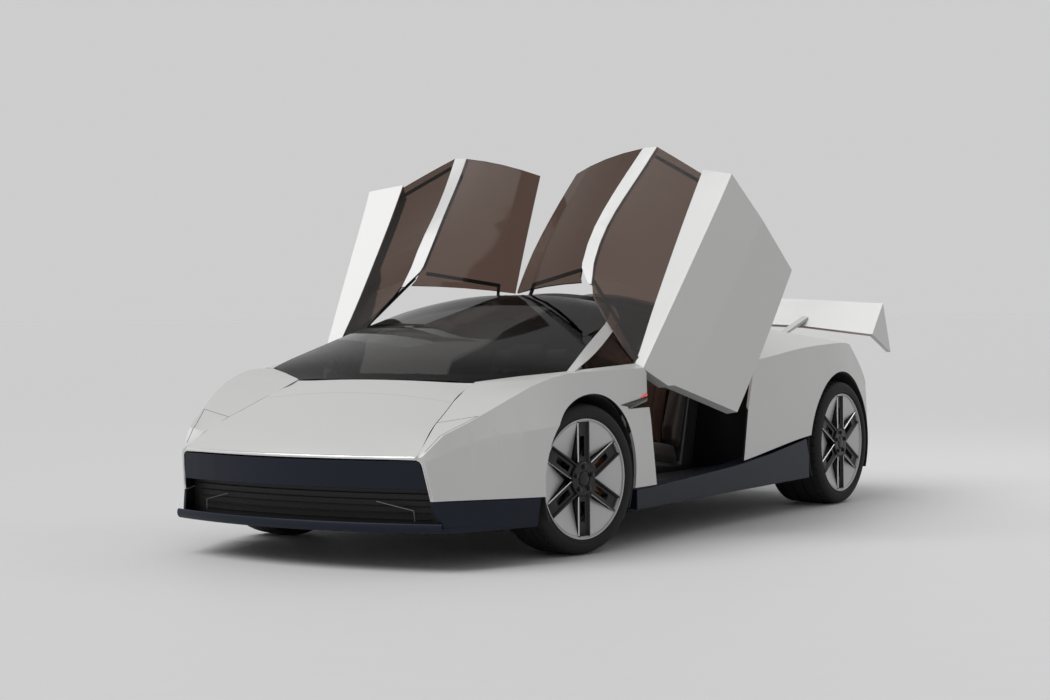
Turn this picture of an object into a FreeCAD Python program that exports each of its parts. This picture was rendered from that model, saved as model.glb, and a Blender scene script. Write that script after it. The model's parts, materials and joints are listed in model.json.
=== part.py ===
"""Low mid-engined two-seat sports car with doors that swing up and a raised tail wing.

Millimetres. +X points ahead, +Y to the car's left, +Z up. The origin lies on the ground,
at the middle of the car's overall length. The doors stand open and the front wheels are
turned to the right, as the car is parked.
"""

import math
import os

import FreeCAD
import Part

Vector = FreeCAD.Vector

# Overall sizes
WHEELBASE = 2730.0
FRONT_OVERHANG = 1040.0
REAR_OVERHANG = 800.0
WING_REACH = 890.0
HALF_WIDTH = 1000.0
ROOF_HEIGHT = 1236.0
GROUND_CLEARANCE = 165.0
NOSE_BOW = 100.0

# Wheels
TYRE_RADIUS = 350.0
RIM_RADIUS = 278.0
FRONT_TYRE_WIDTH = 255.0
REAR_TYRE_WIDTH = 325.0
FRONT_WHEEL_FACE = 971.0
REAR_WHEEL_FACE = 999.0
STEER_AT_REST = -10.3
FRONT_ARCH_RADIUS = 392.0
REAR_ARCH_RADIUS = 405.0
ARCH_DEPTH = 470.0

# Thicknesses and gaps
PANEL = 14.0
GLASS = 8.0
GLASS_INSET = 1.0
RAIL = 26.0
DOOR_DEPTH = 86.0
LINER = 6.0
SEAM = 4.0
DOOR_SEAM = 7.0
SEAT_GAP = 0.3
OVERRUN = 900.0
LOFT_STEP = 110.0

# Doors
DOOR_OPENING = 60.9
HINGE_LOW_SHARE = (0.1875, 0.93, 0.6853)
HINGE_HIGH_SHARE = (0.3132, 0.05, 0.9634)

NOSE_CORNER_SHARE = 0.89
NOSE_REACH = NOSE_CORNER_SHARE * FRONT_OVERHANG + NOSE_BOW
FRONT_AXLE_X = (WING_REACH + WHEELBASE - NOSE_REACH) / 2
REAR_AXLE_X = FRONT_AXLE_X - WHEELBASE

# Body lines of the left side, from nose to tail, as shares of the lengths, half width and height
HOOD_CENTRE_SHARES = (
    (-0.99, 0, 0.407), (-0.94, 0, 0.436), (-0.86, 0, 0.472), (-0.79, 0, 0.501), (-0.71, 0, 0.532),
    (-0.63, 0, 0.560), (-0.55, 0, 0.588), (-0.44, 0, 0.621), (-0.32, 0, 0.654), (-0.20, 0, 0.684),
)
HOOD_SEAM_SHARES = (
    (-0.89, 0.67, 0.407), (-0.84, 0.66, 0.437), (-0.77, 0.64, 0.471), (-0.71, 0.62, 0.498),
    (-0.63, 0.60, 0.527), (-0.55, 0.58, 0.554), (-0.48, 0.56, 0.580), (-0.38, 0.54, 0.611),
    (-0.264, 0.521, 0.647), (-0.043, 0.881, 0.684), (0.0, 0.925, 0.689), (0.09, 0.94, 0.696),
    (0.187, 0.94, 0.702),
)
CREASE_SHARES = (
    (-0.89, 0.684, 0.400), (-0.82, 0.722, 0.464), (-0.74, 0.76, 0.496), (-0.65, 0.80, 0.530),
    (-0.55, 0.84, 0.570), (-0.44, 0.88, 0.612), (-0.36, 0.90, 0.638), (-0.27, 0.92, 0.659),
    (-0.18, 0.94, 0.675), (-0.10, 0.962, 0.681), (0.03, 0.985, 0.683), (0.14, 0.995, 0.684),
    (0.22, 0.995, 0.684), (0.40, 0.99, 0.684), (0.61, 0.982, 0.688), (0.80, 0.998, 0.728),
    (0.95, 0.995, 0.742), (1.10, 0.975, 0.742), (1.27, 0.95, 0.732), (1.60, 0.94, 0.715),
)
FLANK_SHARES = (
    (-0.89, 0.694, 0.385), (-0.65, 0.83, 0.458), (-0.38, 0.98, 0.488), (-0.20, 1.0, 0.500),
    (0.0, 1.0, 0.505), (0.22, 1.0, 0.485), (0.60, 1.0, 0.480), (0.85, 1.0, 0.500), (1.0, 1.0, 0.510),
    (1.27, 0.985, 0.530), (1.60, 0.93, 0.530),
)
FOOT_SHARES = (
    (-0.89, 0.70, 0.250), (-0.85, 0.718, 0.250), (-0.41, 0.975, 0.244), (-0.20, 0.99, 0.238),
    (0.22, 0.99, 0.225), (0.52, 0.99, 0.260), (0.85, 0.99, 0.335), (1.20, 0.985, 0.335),
    (1.60, 0.96, 0.320),
)
PILLAR_SHARES = (
    (-0.043, 0.881, 0.684), (0.096, 0.80, 0.773), (0.229, 0.70, 0.868), (0.28, 0.635, 0.908),
    (0.334, 0.545, 0.938), (0.39, 0.511, 0.956), (0.44, 0.492, 0.960), (0.495, 0.476, 0.951),
    (0.55, 0.460, 0.935), (0.60, 0.447, 0.918), (0.67, 0.437, 0.896),
)
SASH_SHARES = (
    (-0.043, 0.925, 0.686), (0.096, 0.848, 0.745), (0.229, 0.748, 0.842), (0.28, 0.69, 0.880),
    (0.334, 0.605, 0.912), (0.376, 0.586, 0.930), (0.427, 0.566, 0.936), (0.48, 0.543, 0.926),
    (0.535, 0.526, 0.908), (0.59, 0.516, 0.889), (0.67, 0.507, 0.868),
)
SHOULDER_SHARES = (
    (0.16, 0.94, 0.700), (0.20, 0.938, 0.703), (0.31, 0.888, 0.714), (0.50, 0.822, 0.731),
    (0.62, 0.790, 0.740), (0.70, 0.77, 0.746),
)
ROOF_CENTRE_SHARES = (
    (-0.32, 0, 0.654), (-0.10, 0, 0.735), (0.10, 0, 0.838), (0.22, 0, 0.925), (0.30, 0, 0.975),
    (0.40, 0, 1.0), (0.50, 0, 0.998), (0.60, 0, 0.983), (0.68, 0, 0.965),
)
RIDGE_SHARES = (
    (0.655, 0.507, 0.872), (0.67, 0.50, 0.870), (0.79, 0.58, 0.846), (0.90, 0.69, 0.808),
    (1.03, 0.80, 0.768), (1.25, 0.90, 0.735), (1.60, 0.905, 0.728),
)
HAUNCH_SHARES = (
    (0.52, 0.82, 0.731), (0.60, 0.79, 0.740), (0.70, 0.79, 0.768), (0.80, 0.80, 0.784),
    (0.90, 0.84, 0.780), (1.03, 0.89, 0.760), (1.25, 0.925, 0.735), (1.60, 0.928, 0.726),
)
SCREEN_EDGE_SHARES = (
    (-0.33, 0.521, 0.629), (-0.264, 0.521, 0.647), (-0.043, 0.881, 0.684), (0.096, 0.80, 0.773),
    (0.229, 0.70, 0.868), (0.28, 0.635, 0.908), (0.334, 0.545, 0.938),
)
DECK_CENTRE_SHARES = (
    (0.60, 0, 0.983), (0.68, 0, 0.958), (0.80, 0, 0.895), (0.95, 0, 0.820), (1.10, 0, 0.778),
    (1.30, 0, 0.745), (1.50, 0, 0.725),
)
SPLITTER_LINE_SHARES = ((-0.8462, 0.742, 0.1537), (-0.6154, 0.865, 0.1497), (-0.4038, 0.958, 0.1424))
QUARTER_BELT_SHARES = ((0, 0.905, 0.6917), (0.044, 0.93, 0.6974), (0.1832, 0.935, 0.7023))
ROOF_PANE_SHARES = (0.012, 0.25, 0.5, 0.75, 1)


def station_x(station):
    """Place along the car: -1 is the nose, 0 the front axle, 1 the rear axle and 2 the tail."""
    if station < 0:
        return FRONT_AXLE_X - station * FRONT_OVERHANG
    if station < 1:
        return FRONT_AXLE_X - station * WHEELBASE
    return REAR_AXLE_X - (station - 1) * REAR_OVERHANG


def body_point(shares):
    """A point of the body from its station and its shares of the half width and the height."""
    return Vector(station_x(shares[0]), shares[1] * HALF_WIDTH, shares[2] * ROOF_HEIGHT)


def line_at(shares, x):
    """The point at x of the smooth curve through a body line's points."""
    points = [body_point(share) for share in shares]
    count = len(points)
    index = 0
    while index < count - 2 and points[index + 1].x > x:
        index += 1
    first, last = points[index], points[index + 1]
    run = last.x - first.x
    slope = (last - first) * (1 / run)

    def slope_at(place):
        before = points[max(place - 1, 0)]
        after = points[min(place + 1, count - 1)]
        return (after - before) * (1 / (after.x - before.x))

    along = (x - first.x) / run
    if along < 0 or along > 1:
        nearest = first if along < 0 else last
        return nearest + slope * (x - nearest.x)
    start = slope_at(index) * run
    end = slope_at(index + 1) * run
    squared = along * along
    cubed = squared * along
    return (
        first * (2 * cubed - 3 * squared + 1)
        + start * (cubed - 2 * squared + along)
        + last * (3 * squared - 2 * cubed)
        + end * (cubed - squared)
    )


def body_line(shares):
    """A body line as a function of x."""
    return lambda x: line_at(shares, x)


def crown_line(edge, centre, share):
    """The line on a crowned top at a share of its half width."""

    def at(x):
        side, middle = edge(x), centre(x).z
        return Vector(x, side.y * share, middle - (middle - side.z) * share * share)

    return at


def inner_points(points, depth):
    """The points of a section's outline moved inwards by the wall's depth, mitred at the corners."""
    normals = []
    for start, end in zip(points[:-1], points[1:]):
        run = end - start
        length = math.hypot(run.y, run.z)
        normals.append(Vector(0, run.z / length, -run.y / length))
    moved = []
    for index, point in enumerate(points):
        before = normals[max(index - 1, 0)]
        after = normals[min(index, len(normals) - 1)]
        mitre = (before + after) * (1 / (1 + before.dot(after)))
        moved.append(point + mitre * depth)
    return moved


def closed_wire(points):
    """A closed wire of straight edges."""
    return Part.makePolygon(points + [points[0]])


def ruled_solid(sections):
    """A solid through closed outlines with as many points each."""
    return Part.makeLoft([closed_wire(points) for points in sections], True, True)


def steps_between(start, end, step=LOFT_STEP):
    """Places from start to end, evenly spaced and about one step apart."""
    count = max(1, math.ceil(abs(end - start) / step))
    return [start + (end - start) * index / count for index in range(count + 1)]


def skin(lines, start, end, depth, cover=0):
    """A wall of the body between two places along the car, through its lines from top to foot.

    A cover is the thickness of the outer wall that it lies behind.
    """
    sections = []
    for x in steps_between(start, end):
        outer = inner_points([line(x) for line in lines], cover)
        sections.append(outer + inner_points(outer, depth)[::-1])
    return ruled_solid(sections)


def crowned_skin(edge, centre, start, end, depth, half_width):
    """A wall that spans the car, an arc from side to side at each place.

    The arc passes through the edge line and reaches on to a half width of its own at each x.
    """
    wires = []
    for x in steps_between(start, end):
        side, top, half = edge(x), centre(x).z, half_width(x)
        drop = (top - side.z) * (half / side.y) ** 2
        upper = [Vector(x, half, top - drop), Vector(x, 0, top), Vector(x, -half, top - drop)]
        lower = [point - Vector(0, 0, depth) for point in upper]
        edges = [
            Part.Arc(*upper).toShape(),
            Part.makeLine(upper[2], lower[2]),
            Part.Arc(*reversed(lower)).toShape(),
            Part.makeLine(lower[0], upper[0]),
        ]
        wires.append(Part.Wire(edges))
    return Part.makeLoft(wires, True, False)


def box(low, high):
    """A box between two corners."""
    size = Vector(*high) - Vector(*low)
    return Part.makeBox(size.x, size.y, size.z, Vector(*low))


def side_prism(outline, near, far):
    """A prism across the car, from an outline of x and z."""
    points = [Vector(x, near, z) for x, z in outline]
    return Part.Face(closed_wire(points)).extrude(Vector(0, far - near, 0))


def plan_prism(outline, low, high):
    """An upright prism, from an outline of x and y."""
    points = [Vector(x, y, low) for x, y in outline]
    return Part.Face(closed_wire(points)).extrude(Vector(0, 0, high - low))


def half_space(point, normal):
    """A large block that fills the side of a plane that its normal points to."""
    side = 2 * OVERRUN + WHEELBASE
    block = Part.makeBox(2 * side, 2 * side, side, Vector(-side, -side, 0))
    turn = FreeCAD.Rotation(Vector(0, 0, 1), normal)
    block.Placement = FreeCAD.Placement(point, turn)
    return block


def rod(start, end, radius):
    """A round bar between two points."""
    run = end - start
    return Part.makeCylinder(radius, run.Length, start, run)


def wheel_cylinder(axle_x, radius, near, far):
    """A cylinder about an axle, from near to far across the car."""
    centre = Vector(axle_x, near, TYRE_RADIUS)
    return Part.makeCylinder(radius, far - near, centre, Vector(0, 1, 0))


def mirrored(shape):
    """The same shape on the car's other side."""
    return shape.mirror(Vector(0, 0, 0), Vector(0, 1, 0))


def both_sides(shape):
    """A shape and its mirror image, which don't touch, as one node."""
    return Part.makeCompound([shape, mirrored(shape)])


def save(name, shape):
    """Writes one node, with the seams of its fused pieces taken out."""
    tidy = shape.removeSplitter()
    tidy.exportStep(os.path.join("parts", name + ".step"))


seam = body_line(HOOD_SEAM_SHARES)
crease = body_line(CREASE_SHARES)
flank = body_line(FLANK_SHARES)
foot = body_line(FOOT_SHARES)
pillar = body_line(PILLAR_SHARES)
sash = body_line(SASH_SHARES)
shoulder = body_line(SHOULDER_SHARES)
hood_centre = body_line(HOOD_CENTRE_SHARES)
roof_centre = body_line(ROOF_CENTRE_SHARES)
ridge = body_line(RIDGE_SHARES)
haunch = body_line(HAUNCH_SHARES)
deck_centre = body_line(DECK_CENTRE_SHARES)
screen_edge = body_line(SCREEN_EDGE_SHARES)


def share_block(corners):
    """A box between two body points, given as shares."""
    first, second = [body_point(shares) for shares in corners]
    low = Vector(min(first.x, second.x), min(first.y, second.y), min(first.z, second.z))
    return Part.makeBox(abs(first.x - second.x), abs(first.y - second.y), abs(first.z - second.z), low)


def fused(shapes):
    """Several touching or overlapping shapes as one."""
    first, *others = shapes
    return first.multiFuse(others) if others else first


def share_blocks(table):
    """Boxes given as shares, fused into one."""
    return fused([share_block(corners) for corners in table])


def side_outline(shares):
    """An outline of x and z from stations and shares of the height."""
    return [(station_x(station), height * ROOF_HEIGHT) for station, height in shares]


def cross_prism(outline_shares, front, rear):
    """A prism along the car, from an outline of shares of the half width and the height."""
    points = [Vector(rear, side * HALF_WIDTH, height * ROOF_HEIGHT) for side, height in outline_shares]
    return Part.Face(closed_wire(points)).extrude(Vector(front - rear, 0, 0))


def revolved(profile, axle_x):
    """A ring about an axle, from a profile of places across the car and radii."""
    points = [Vector(axle_x, y, TYRE_RADIUS + radius) for y, radius in profile]
    centre = Vector(axle_x, 0, TYRE_RADIUS)
    return Part.Face(closed_wire(points)).revolve(centre, Vector(0, 1, 0), 360)


def stacked(outlines):
    """A solid through level outlines of x and y, each with its height."""
    return ruled_solid([[Vector(x, y, z) for x, y in outline] for outline, z in outlines])


# Nose outline, shared by the hood, the fenders and the bumper
ARC_STEPS = 12
NOSE_CORNER = body_point((-NOSE_CORNER_SHARE, 0.67, 0.407))
NOSE_FOOT = body_point((-0.847, 0.718, 0.251))


def bowed_arc(corner, bow, offset, half_width):
    """Plan outline from right to left of an edge that is bowed ahead, moved ahead by an offset."""
    points = []
    for index in range(ARC_STEPS + 1):
        y = (2 * index / ARC_STEPS - 1) * half_width
        points.append((corner.x + bow * (1 - (y / corner.y) ** 2) + offset, y))
    return points


def bowed_band(corner, bow, depth, half_width):
    """Closed plan outline of a wall behind a bowed edge."""
    front = bowed_arc(corner, bow, 0, half_width)
    back = bowed_arc(corner, bow, -depth, half_width)
    return front + back[::-1]


def nose_plane():
    """The plane that ends the left fender at the nose: a point on it and its direction ahead."""
    inward = Vector(2 * NOSE_BOW, -NOSE_CORNER.y, 0)
    normal = (NOSE_FOOT - NOSE_CORNER).cross(inward)
    if normal.x < 0:
        normal = normal * -1
    return NOSE_CORNER, normal


# Hood: front lid from the nose to the windscreen, hinged at its rear edge
SCREEN_CORNER = body_point((-0.264, 0.521, 0.647))
SCREEN_BOW = 55.0
HOOD_PIN = 5.0
HOOD_TUBE = 10.0
HOOD_ARM = 12.0
HOOD_ARM_SPAN = (180.0, 240.0)
HOOD_ARM_SHARES = (
    (-0.2583, 0.6505), (-0.2698, 0.6505), (-0.2698, 0.6117), (-0.3462, 0.6117), (-0.3462, 0.64),
    (-0.3577, 0.6375), (-0.3577, 0.6019), (-0.2583, 0.6019),
)


def make_hood(fender):
    nose = FRONT_AXLE_X + FRONT_OVERHANG
    lid = crowned_skin(seam, hood_centre, nose, SCREEN_CORNER.x, PANEL, lambda x: seam(x).y - SEAM)
    front = bowed_arc(NOSE_CORNER, NOSE_BOW, 0, NOSE_CORNER.y)
    back = bowed_arc(SCREEN_CORNER, SCREEN_BOW, DOOR_SEAM, SCREEN_CORNER.y)
    outline = [(front[0][0], -HALF_WIDTH), *front, (front[-1][0], HALF_WIDTH)]
    outline += [(back[-1][0], HALF_WIDTH), *reversed(back), (back[0][0], -HALF_WIDTH)]
    lid = lid.common(plan_prism(outline, 0, ROOF_HEIGHT))
    near, far = HOOD_ARM_SPAN
    arm = side_prism(side_outline(HOOD_ARM_SHARES), near, far)
    pivot = Vector(SCREEN_CORNER.x, near, SCREEN_CORNER.z)
    arm = arm.fuse(Part.makeCylinder(HOOD_TUBE, far - near, pivot, Vector(0, 1, 0)))
    arm = arm.cut(Part.makeCylinder(HOOD_PIN + SEAT_GAP, far - near, pivot, Vector(0, 1, 0)))
    return fused([lid, arm, mirrored(arm)]).cut(fender).cut(mirrored(fender))


# Fenders: from the nose to the door, over the front wheel
TONGUE_END = station_x(0.1795)
PANEL_TOP = 0.531 * ROOF_HEIGHT
SLOT_TOP = 0.556 * ROOF_HEIGHT
PANEL_END_TOP = station_x(0.187)
PANEL_END_FOOT = station_x(0.217)
FOOT_END_HEIGHT = 0.222 * ROOF_HEIGHT
SLOT_FRONT = station_x(0.115)


def wheel_space(axle_x, radius):
    """The space of a left wheel in the body."""
    return wheel_cylinder(axle_x, radius, HALF_WIDTH - ARCH_DEPTH, HALF_WIDTH + OVERRUN)


def make_fender():
    wall = skin([seam, crease, flank, foot], NOSE_CORNER.x + SEAM, PANEL_END_FOOT - PANEL, PANEL)
    wall = wall.cut(half_space(*nose_plane()))
    wall = wall.cut(wheel_space(FRONT_AXLE_X, FRONT_ARCH_RADIUS))
    behind = [
        (TONGUE_END, ROOF_HEIGHT), (TONGUE_END, SLOT_TOP), (SLOT_FRONT, PANEL_TOP),
        (PANEL_END_TOP, PANEL_TOP), (PANEL_END_FOOT, FOOT_END_HEIGHT), (PANEL_END_FOOT, 0),
        (PANEL_END_FOOT - OVERRUN, 0), (PANEL_END_FOOT - OVERRUN, ROOF_HEIGHT),
    ]
    wall = wall.cut(side_prism(behind, 0, 2 * HALF_WIDTH))
    return wall.cut(opened(make_door_wall(UPRIGHT_GAP)))


# Front bumper: band under the hood's edge between the fenders, with the dark intake below it
SPLITTER_FOOT = 0.137 * ROOF_HEIGHT
SPLITTER_THICKNESS = 22.0
BAND_TOP = 0.392 * ROOF_HEIGHT
BAND_FOOT = 0.291 * ROOF_HEIGHT
INTAKE_FOOT = SPLITTER_FOOT + SPLITTER_THICKNESS + SEAT_GAP
BUMPER_DEPTH = 40.0
INTAKE_DEPTH = 70.0


def nose_point(height):
    """The corner of the nose outline at a height, along the fender's front edge."""
    share = (NOSE_CORNER.z - height) / (NOSE_CORNER.z - NOSE_FOOT.z)
    return NOSE_CORNER + (NOSE_FOOT - NOSE_CORNER) * share


def nose_wall(low, high, set_back, depth):
    """A wall across the nose between two heights, set back from the nose outline."""
    outlines = []
    for height in (low, high):
        corner = nose_point(height)
        outline = bowed_band(corner, NOSE_BOW, depth, corner.y)
        outlines.append(([(x - set_back, y) for x, y in outline], height))
    return stacked(outlines)


def make_bumper(fender):
    band = nose_wall(BAND_FOOT, BAND_TOP, 0, BUMPER_DEPTH)
    return band.cut(fender).cut(mirrored(fender))


def make_grille(fender):
    plate = nose_wall(INTAKE_FOOT, BAND_FOOT, INTAKE_DEPTH, PANEL)
    return plate.cut(fender).cut(mirrored(fender))


# Splitter: dark plate under the nose with the lower panels ahead of the wheels
SPLITTER_CORNER = body_point((-0.8365, 0.76, 0.1497))
SPLITTER_BOW = 130.0
SPLITTER_REAR = station_x(-0.4038)
SPLITTER_SIDE_SHARE = 0.955


def make_splitter():
    arc = bowed_arc(SPLITTER_CORNER, SPLITTER_BOW, 0, SPLITTER_CORNER.y)
    side = SPLITTER_SIDE_SHARE * HALF_WIDTH
    outline = arc + [(SPLITTER_REAR, side), (SPLITTER_REAR, -side)]
    plate = plan_prism(outline, SPLITTER_FOOT, SPLITTER_FOOT + SPLITTER_THICKNESS)
    upper = foot
    lower = body_line(SPLITTER_LINE_SHARES)
    panel = skin([lambda x: upper(x) - Vector(0, 0, SEAM), lower], station_x(-0.8462), SPLITTER_REAR, PANEL)
    panel = panel.cut(half_space(*nose_plane()))
    return fused([plate, panel, mirrored(panel)])


# Windscreen: one curved pane from the hood to the roof, between the two pillars
SCREEN_SIDE = body_point((-0.043, 0.881, 0.684))
SCREEN_TOP_SIDE = body_point((0.318, 0.56, 0.93))
SCREEN_TOP_STATION = 0.297


def make_windscreen(fender):
    front = SCREEN_CORNER.x + SCREEN_BOW
    pane = crowned_skin(screen_edge, roof_centre, front, SCREEN_TOP_SIDE.x, GLASS, lambda x: HALF_WIDTH)
    base = bowed_arc(SCREEN_CORNER, SCREEN_BOW, 0, SCREEN_CORNER.y)
    left = [(SCREEN_SIDE.x - SEAM, SCREEN_SIDE.y - SEAM)]
    for x in steps_between(SCREEN_SIDE.x, SCREEN_TOP_SIDE.x)[1:]:
        left.append((x, pillar(x).y - SEAM / 2))
    left.append((station_x(SCREEN_TOP_STATION), 0))
    right = [(x, -y) for x, y in reversed(left[:-1])]
    pane = pane.common(plan_prism(base + left + right, 0, 2 * ROOF_HEIGHT))
    return pane.cut(fender).cut(mirrored(fender))


# Door hinge: an axis from the belt line up to the middle of the roof
HINGE_LOW = body_point(HINGE_LOW_SHARE)
HINGE_HIGH = body_point(HINGE_HIGH_SHARE)
HINGE_AXIS = (HINGE_LOW - HINGE_HIGH).normalize()
BELT_FRONT = body_point((0.185, 0.94, 0.702))
RAIL_FRONT = body_point((0.322, 0.606, 0.9045))
RAIL_REAR = body_point((0.656, 0.507, 0.872))
SHOULDER_REAR = body_point((0.608, 0.793, 0.74))
GLASS_FRONT_STATION = 0.322
GLASS_REAR_STATION = 0.603
DOOR_REAR_TOP = body_point((0.606, 0.982, 0.688))
DOOR_REAR_FOOT = body_point((0.519, 0.99, 0.26))


def swing(point):
    """The way a point of the left door sets off when the door opens."""
    return HINGE_AXIS.cross(point - HINGE_HIGH)


def opened(shape):
    """A shape of the left door, turned from closed to open."""
    turned = shape.copy()
    turned.rotate(HINGE_HIGH, HINGE_AXIS, DOOR_OPENING)
    return turned


def plane_through(first, second, direction, way, distance):
    """The plane through two points along a direction, facing one way, moved that way."""
    normal = (second - first).cross(direction).normalize()
    if normal.x * way < 0:
        normal = normal * -1
    return first + normal * distance, normal


def window_front(distance):
    """The plane of the side window's front edge, facing ahead."""
    return plane_through(BELT_FRONT, RAIL_FRONT, swing(RAIL_FRONT), 1, distance)


def window_rear(distance):
    """The plane of the side window's rear edge, facing back."""
    return plane_through(SHOULDER_REAR, RAIL_REAR, swing(SHOULDER_REAR), -1, distance)


def roof_front(distance):
    """The plane of the roof pane's front edge, facing ahead."""
    middle = Vector(station_x(GLASS_FRONT_STATION), 0, ROOF_HEIGHT)
    return plane_through(middle, RAIL_FRONT, Vector(0, 0, 1), 1, distance)


def roof_rear(distance):
    """The plane of the roof pane's rear edge, facing back."""
    middle = Vector(station_x(GLASS_REAR_STATION), 0, ROOF_HEIGHT)
    return plane_through(middle, RAIL_REAR, Vector(0, 0, 1), -1, distance)


def behind_plane(shape, plane):
    """What is left of a shape on the side that a plane turns its back to."""
    return shape.cut(half_space(*plane))


def facing_back(plane):
    """The same plane, facing the other way."""
    point, normal = plane
    return point, normal * -1


# Pillars: bright strips beside the windscreen
def make_pillar(fender, windscreen):
    strip = skin([pillar, sash], SCREEN_SIDE.x, SCREEN_TOP_SIDE.x - RAIL, RAIL)
    for edge in (window_front(DOOR_SEAM), roof_front(DOOR_SEAM)):
        strip = behind_plane(strip, facing_back(edge))
    return strip.cut(fender).cut(windscreen)


def make_quarter_window(pillar_strip, fender):
    """The fixed side pane between the pillar, the fender and the door."""
    belt = body_line(QUARTER_BELT_SHARES)
    pane = skin([sash, belt], SCREEN_SIDE.x - PANEL, RAIL_FRONT.x, GLASS, GLASS_INSET)
    pane = behind_plane(pane, facing_back(window_front(DOOR_SEAM)))
    return pane.cut([pillar_strip, fender, *door_rooms()])


# Doors: outer panel with its shoulder and inner trim, roof rail, side window and roof pane
def door_outline(gap):
    """Side outline of the closed door below its window, grown by a gap."""
    slope = (DOOR_REAR_TOP.x - DOOR_REAR_FOOT.x) / (DOOR_REAR_TOP.z - DOOR_REAR_FOOT.z)
    rear_high = DOOR_REAR_FOOT.x + slope * (ROOF_HEIGHT - DOOR_REAR_FOOT.z)
    rear_low = DOOR_REAR_FOOT.x - slope * DOOR_REAR_FOOT.z
    back = gap - DOOR_SEAM
    return [
        (TONGUE_END + back, ROOF_HEIGHT), (TONGUE_END + back, SLOT_TOP), (PANEL_END_TOP + back, PANEL_TOP),
        (PANEL_END_FOOT + back, FOOT_END_HEIGHT), (PANEL_END_FOOT + back, 0), (rear_low - gap, 0),
        (rear_high - gap, ROOF_HEIGHT),
    ]


HINGE_PIN = 9.0
HINGE_TUBE = 16.0
LOW_HINGE_SPAN = (30.0, 90.0)
HIGH_HINGE_SPAN = (20.0, 80.0)
HINGE_LUG = 8.0
HINGE_GAP = 2.0
ARM_WIDTH = 40.0
ARM_FOOT = body_point((0.2418, 0.945, 0.5663))
ROOM_STEPS = 5
HINGE_ROOM = 50.0


def on_hinge(distance, high=False):
    """A point of the hinge axis at a distance from its lower or its higher end, into the car."""
    if high:
        return HINGE_HIGH + HINGE_AXIS * distance
    return HINGE_LOW - HINGE_AXIS * distance


def hinge_rod(span, radius, high):
    """A round bar along the hinge axis."""
    return rod(on_hinge(span[0], high), on_hinge(span[1], high), radius)


def beam(start, end, width, height):
    """A straight square bar between two points."""
    run = end - start
    bar = Part.makeBox(width, height, run.Length, Vector(-width / 2, -height / 2, 0))
    bar.Placement = FreeCAD.Placement(start, FreeCAD.Rotation(Vector(0, 0, 1), run))
    return bar


def make_door_wall(margin):
    """The closed door's lower part, grown by a margin."""
    end = DOOR_REAR_TOP.x - ARM_WIDTH * 2
    wall = skin([shoulder, crease, flank, foot], TONGUE_END + margin, end, DOOR_DEPTH + 2 * margin, -margin)
    return wall.common(side_prism(door_outline(margin), 0, 2 * HALF_WIDTH + margin))


def make_door_shell():
    """The thick lower part of the door, with the tube and arm of its lower hinge."""
    wall = make_door_wall(0)
    room = (LOW_HINGE_SPAN[0] - ARM_WIDTH / 2, LOW_HINGE_SPAN[1] + HINGE_ROOM)
    wall = wall.cut(hinge_rod(room, HINGE_ROOM, False))
    low_tube = hinge_rod(LOW_HINGE_SPAN, HINGE_TUBE, False)
    middle = on_hinge((LOW_HINGE_SPAN[0] + LOW_HINGE_SPAN[1]) / 2)
    arm = beam(middle, ARM_FOOT, HINGE_TUBE, HINGE_TUBE)
    bore = hinge_rod((-ARM_WIDTH, HINGE_AXIS.Length * OVERRUN * 2), HINGE_PIN + SEAT_GAP, False)
    return fused([wall, low_tube, arm]).cut(bore)


FRAME_BEAM = 14.0
ROOF_ARM_SHARES = ((0.307, 0.095, 0.9502), (0.3399, 0.105, 0.9595), (0.3535, 0.5, 0.9304))
FRONT_POST_SHARES = ((0.2106, 0.915, 0.6958), (0.3462, 0.56, 0.9102))
REAR_POST_SHARES = ((0.5916, 0.8, 0.7079), (0.6355, 0.515, 0.8576))


def make_door_frame(others):
    """The black frame inside the glass: both posts and the arm to the upper hinge."""
    roof_arm = [body_point(shares) for shares in ROOF_ARM_SHARES]
    paths = [roof_arm[:2], roof_arm[1:]]
    for table in (FRONT_POST_SHARES, REAR_POST_SHARES):
        paths.append([body_point(shares) for shares in table])
    pieces = [beam(start, end, FRAME_BEAM, FRAME_BEAM) for start, end in paths]
    pieces.append(Part.makeSphere(FRAME_BEAM * 0.7, roof_arm[1]))
    pieces.append(hinge_rod(HIGH_HINGE_SPAN, HINGE_TUBE, True))
    frame = fused(pieces)
    frame = frame.cut(hinge_rod((-ARM_WIDTH, HINGE_ROOM * 3), HINGE_PIN + SEAT_GAP, True))
    return frame.cut(others)


def make_rail():
    bar = skin([pillar, sash], RAIL_FRONT.x + RAIL * 4, RAIL_REAR.x - RAIL * 3, RAIL)
    for edge in (window_front(0), window_rear(0), roof_front(0), roof_rear(0)):
        bar = behind_plane(bar, edge)
    return bar


def door_rooms():
    """The space that the front edge of the door's window sweeps as the door opens, in steps."""
    margin = UPRIGHT_GAP
    depth = GLASS + 2 * margin
    edge = skin([sash, shoulder], BELT_FRONT.x, RAIL_FRONT.x - RAIL, depth, -margin)
    edge = behind_plane(edge, window_front(margin))
    rooms = []
    for step in range(ROOM_STEPS):
        moved = edge.copy()
        moved.rotate(HINGE_HIGH, HINGE_AXIS, DOOR_OPENING * step / (ROOM_STEPS - 1))
        rooms.append(moved)
    return rooms


def make_window(rail):
    pane = skin([sash, shoulder], BELT_FRONT.x, RAIL_REAR.x - RAIL * 3, GLASS, GLASS_INSET)
    pane = behind_plane(pane, window_front(0))
    return behind_plane(pane, window_rear(0)).cut(rail)


def make_roof_pane(rail):
    lines = [crown_line(pillar, roof_centre, share) for share in ROOF_PANE_SHARES]
    pane = skin(lines, RAIL_FRONT.x + RAIL * 3, RAIL_REAR.x - RAIL * 3, GLASS, GLASS_INSET)
    pane = behind_plane(pane, roof_front(0))
    return behind_plane(pane, roof_rear(0)).cut(rail)


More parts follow.
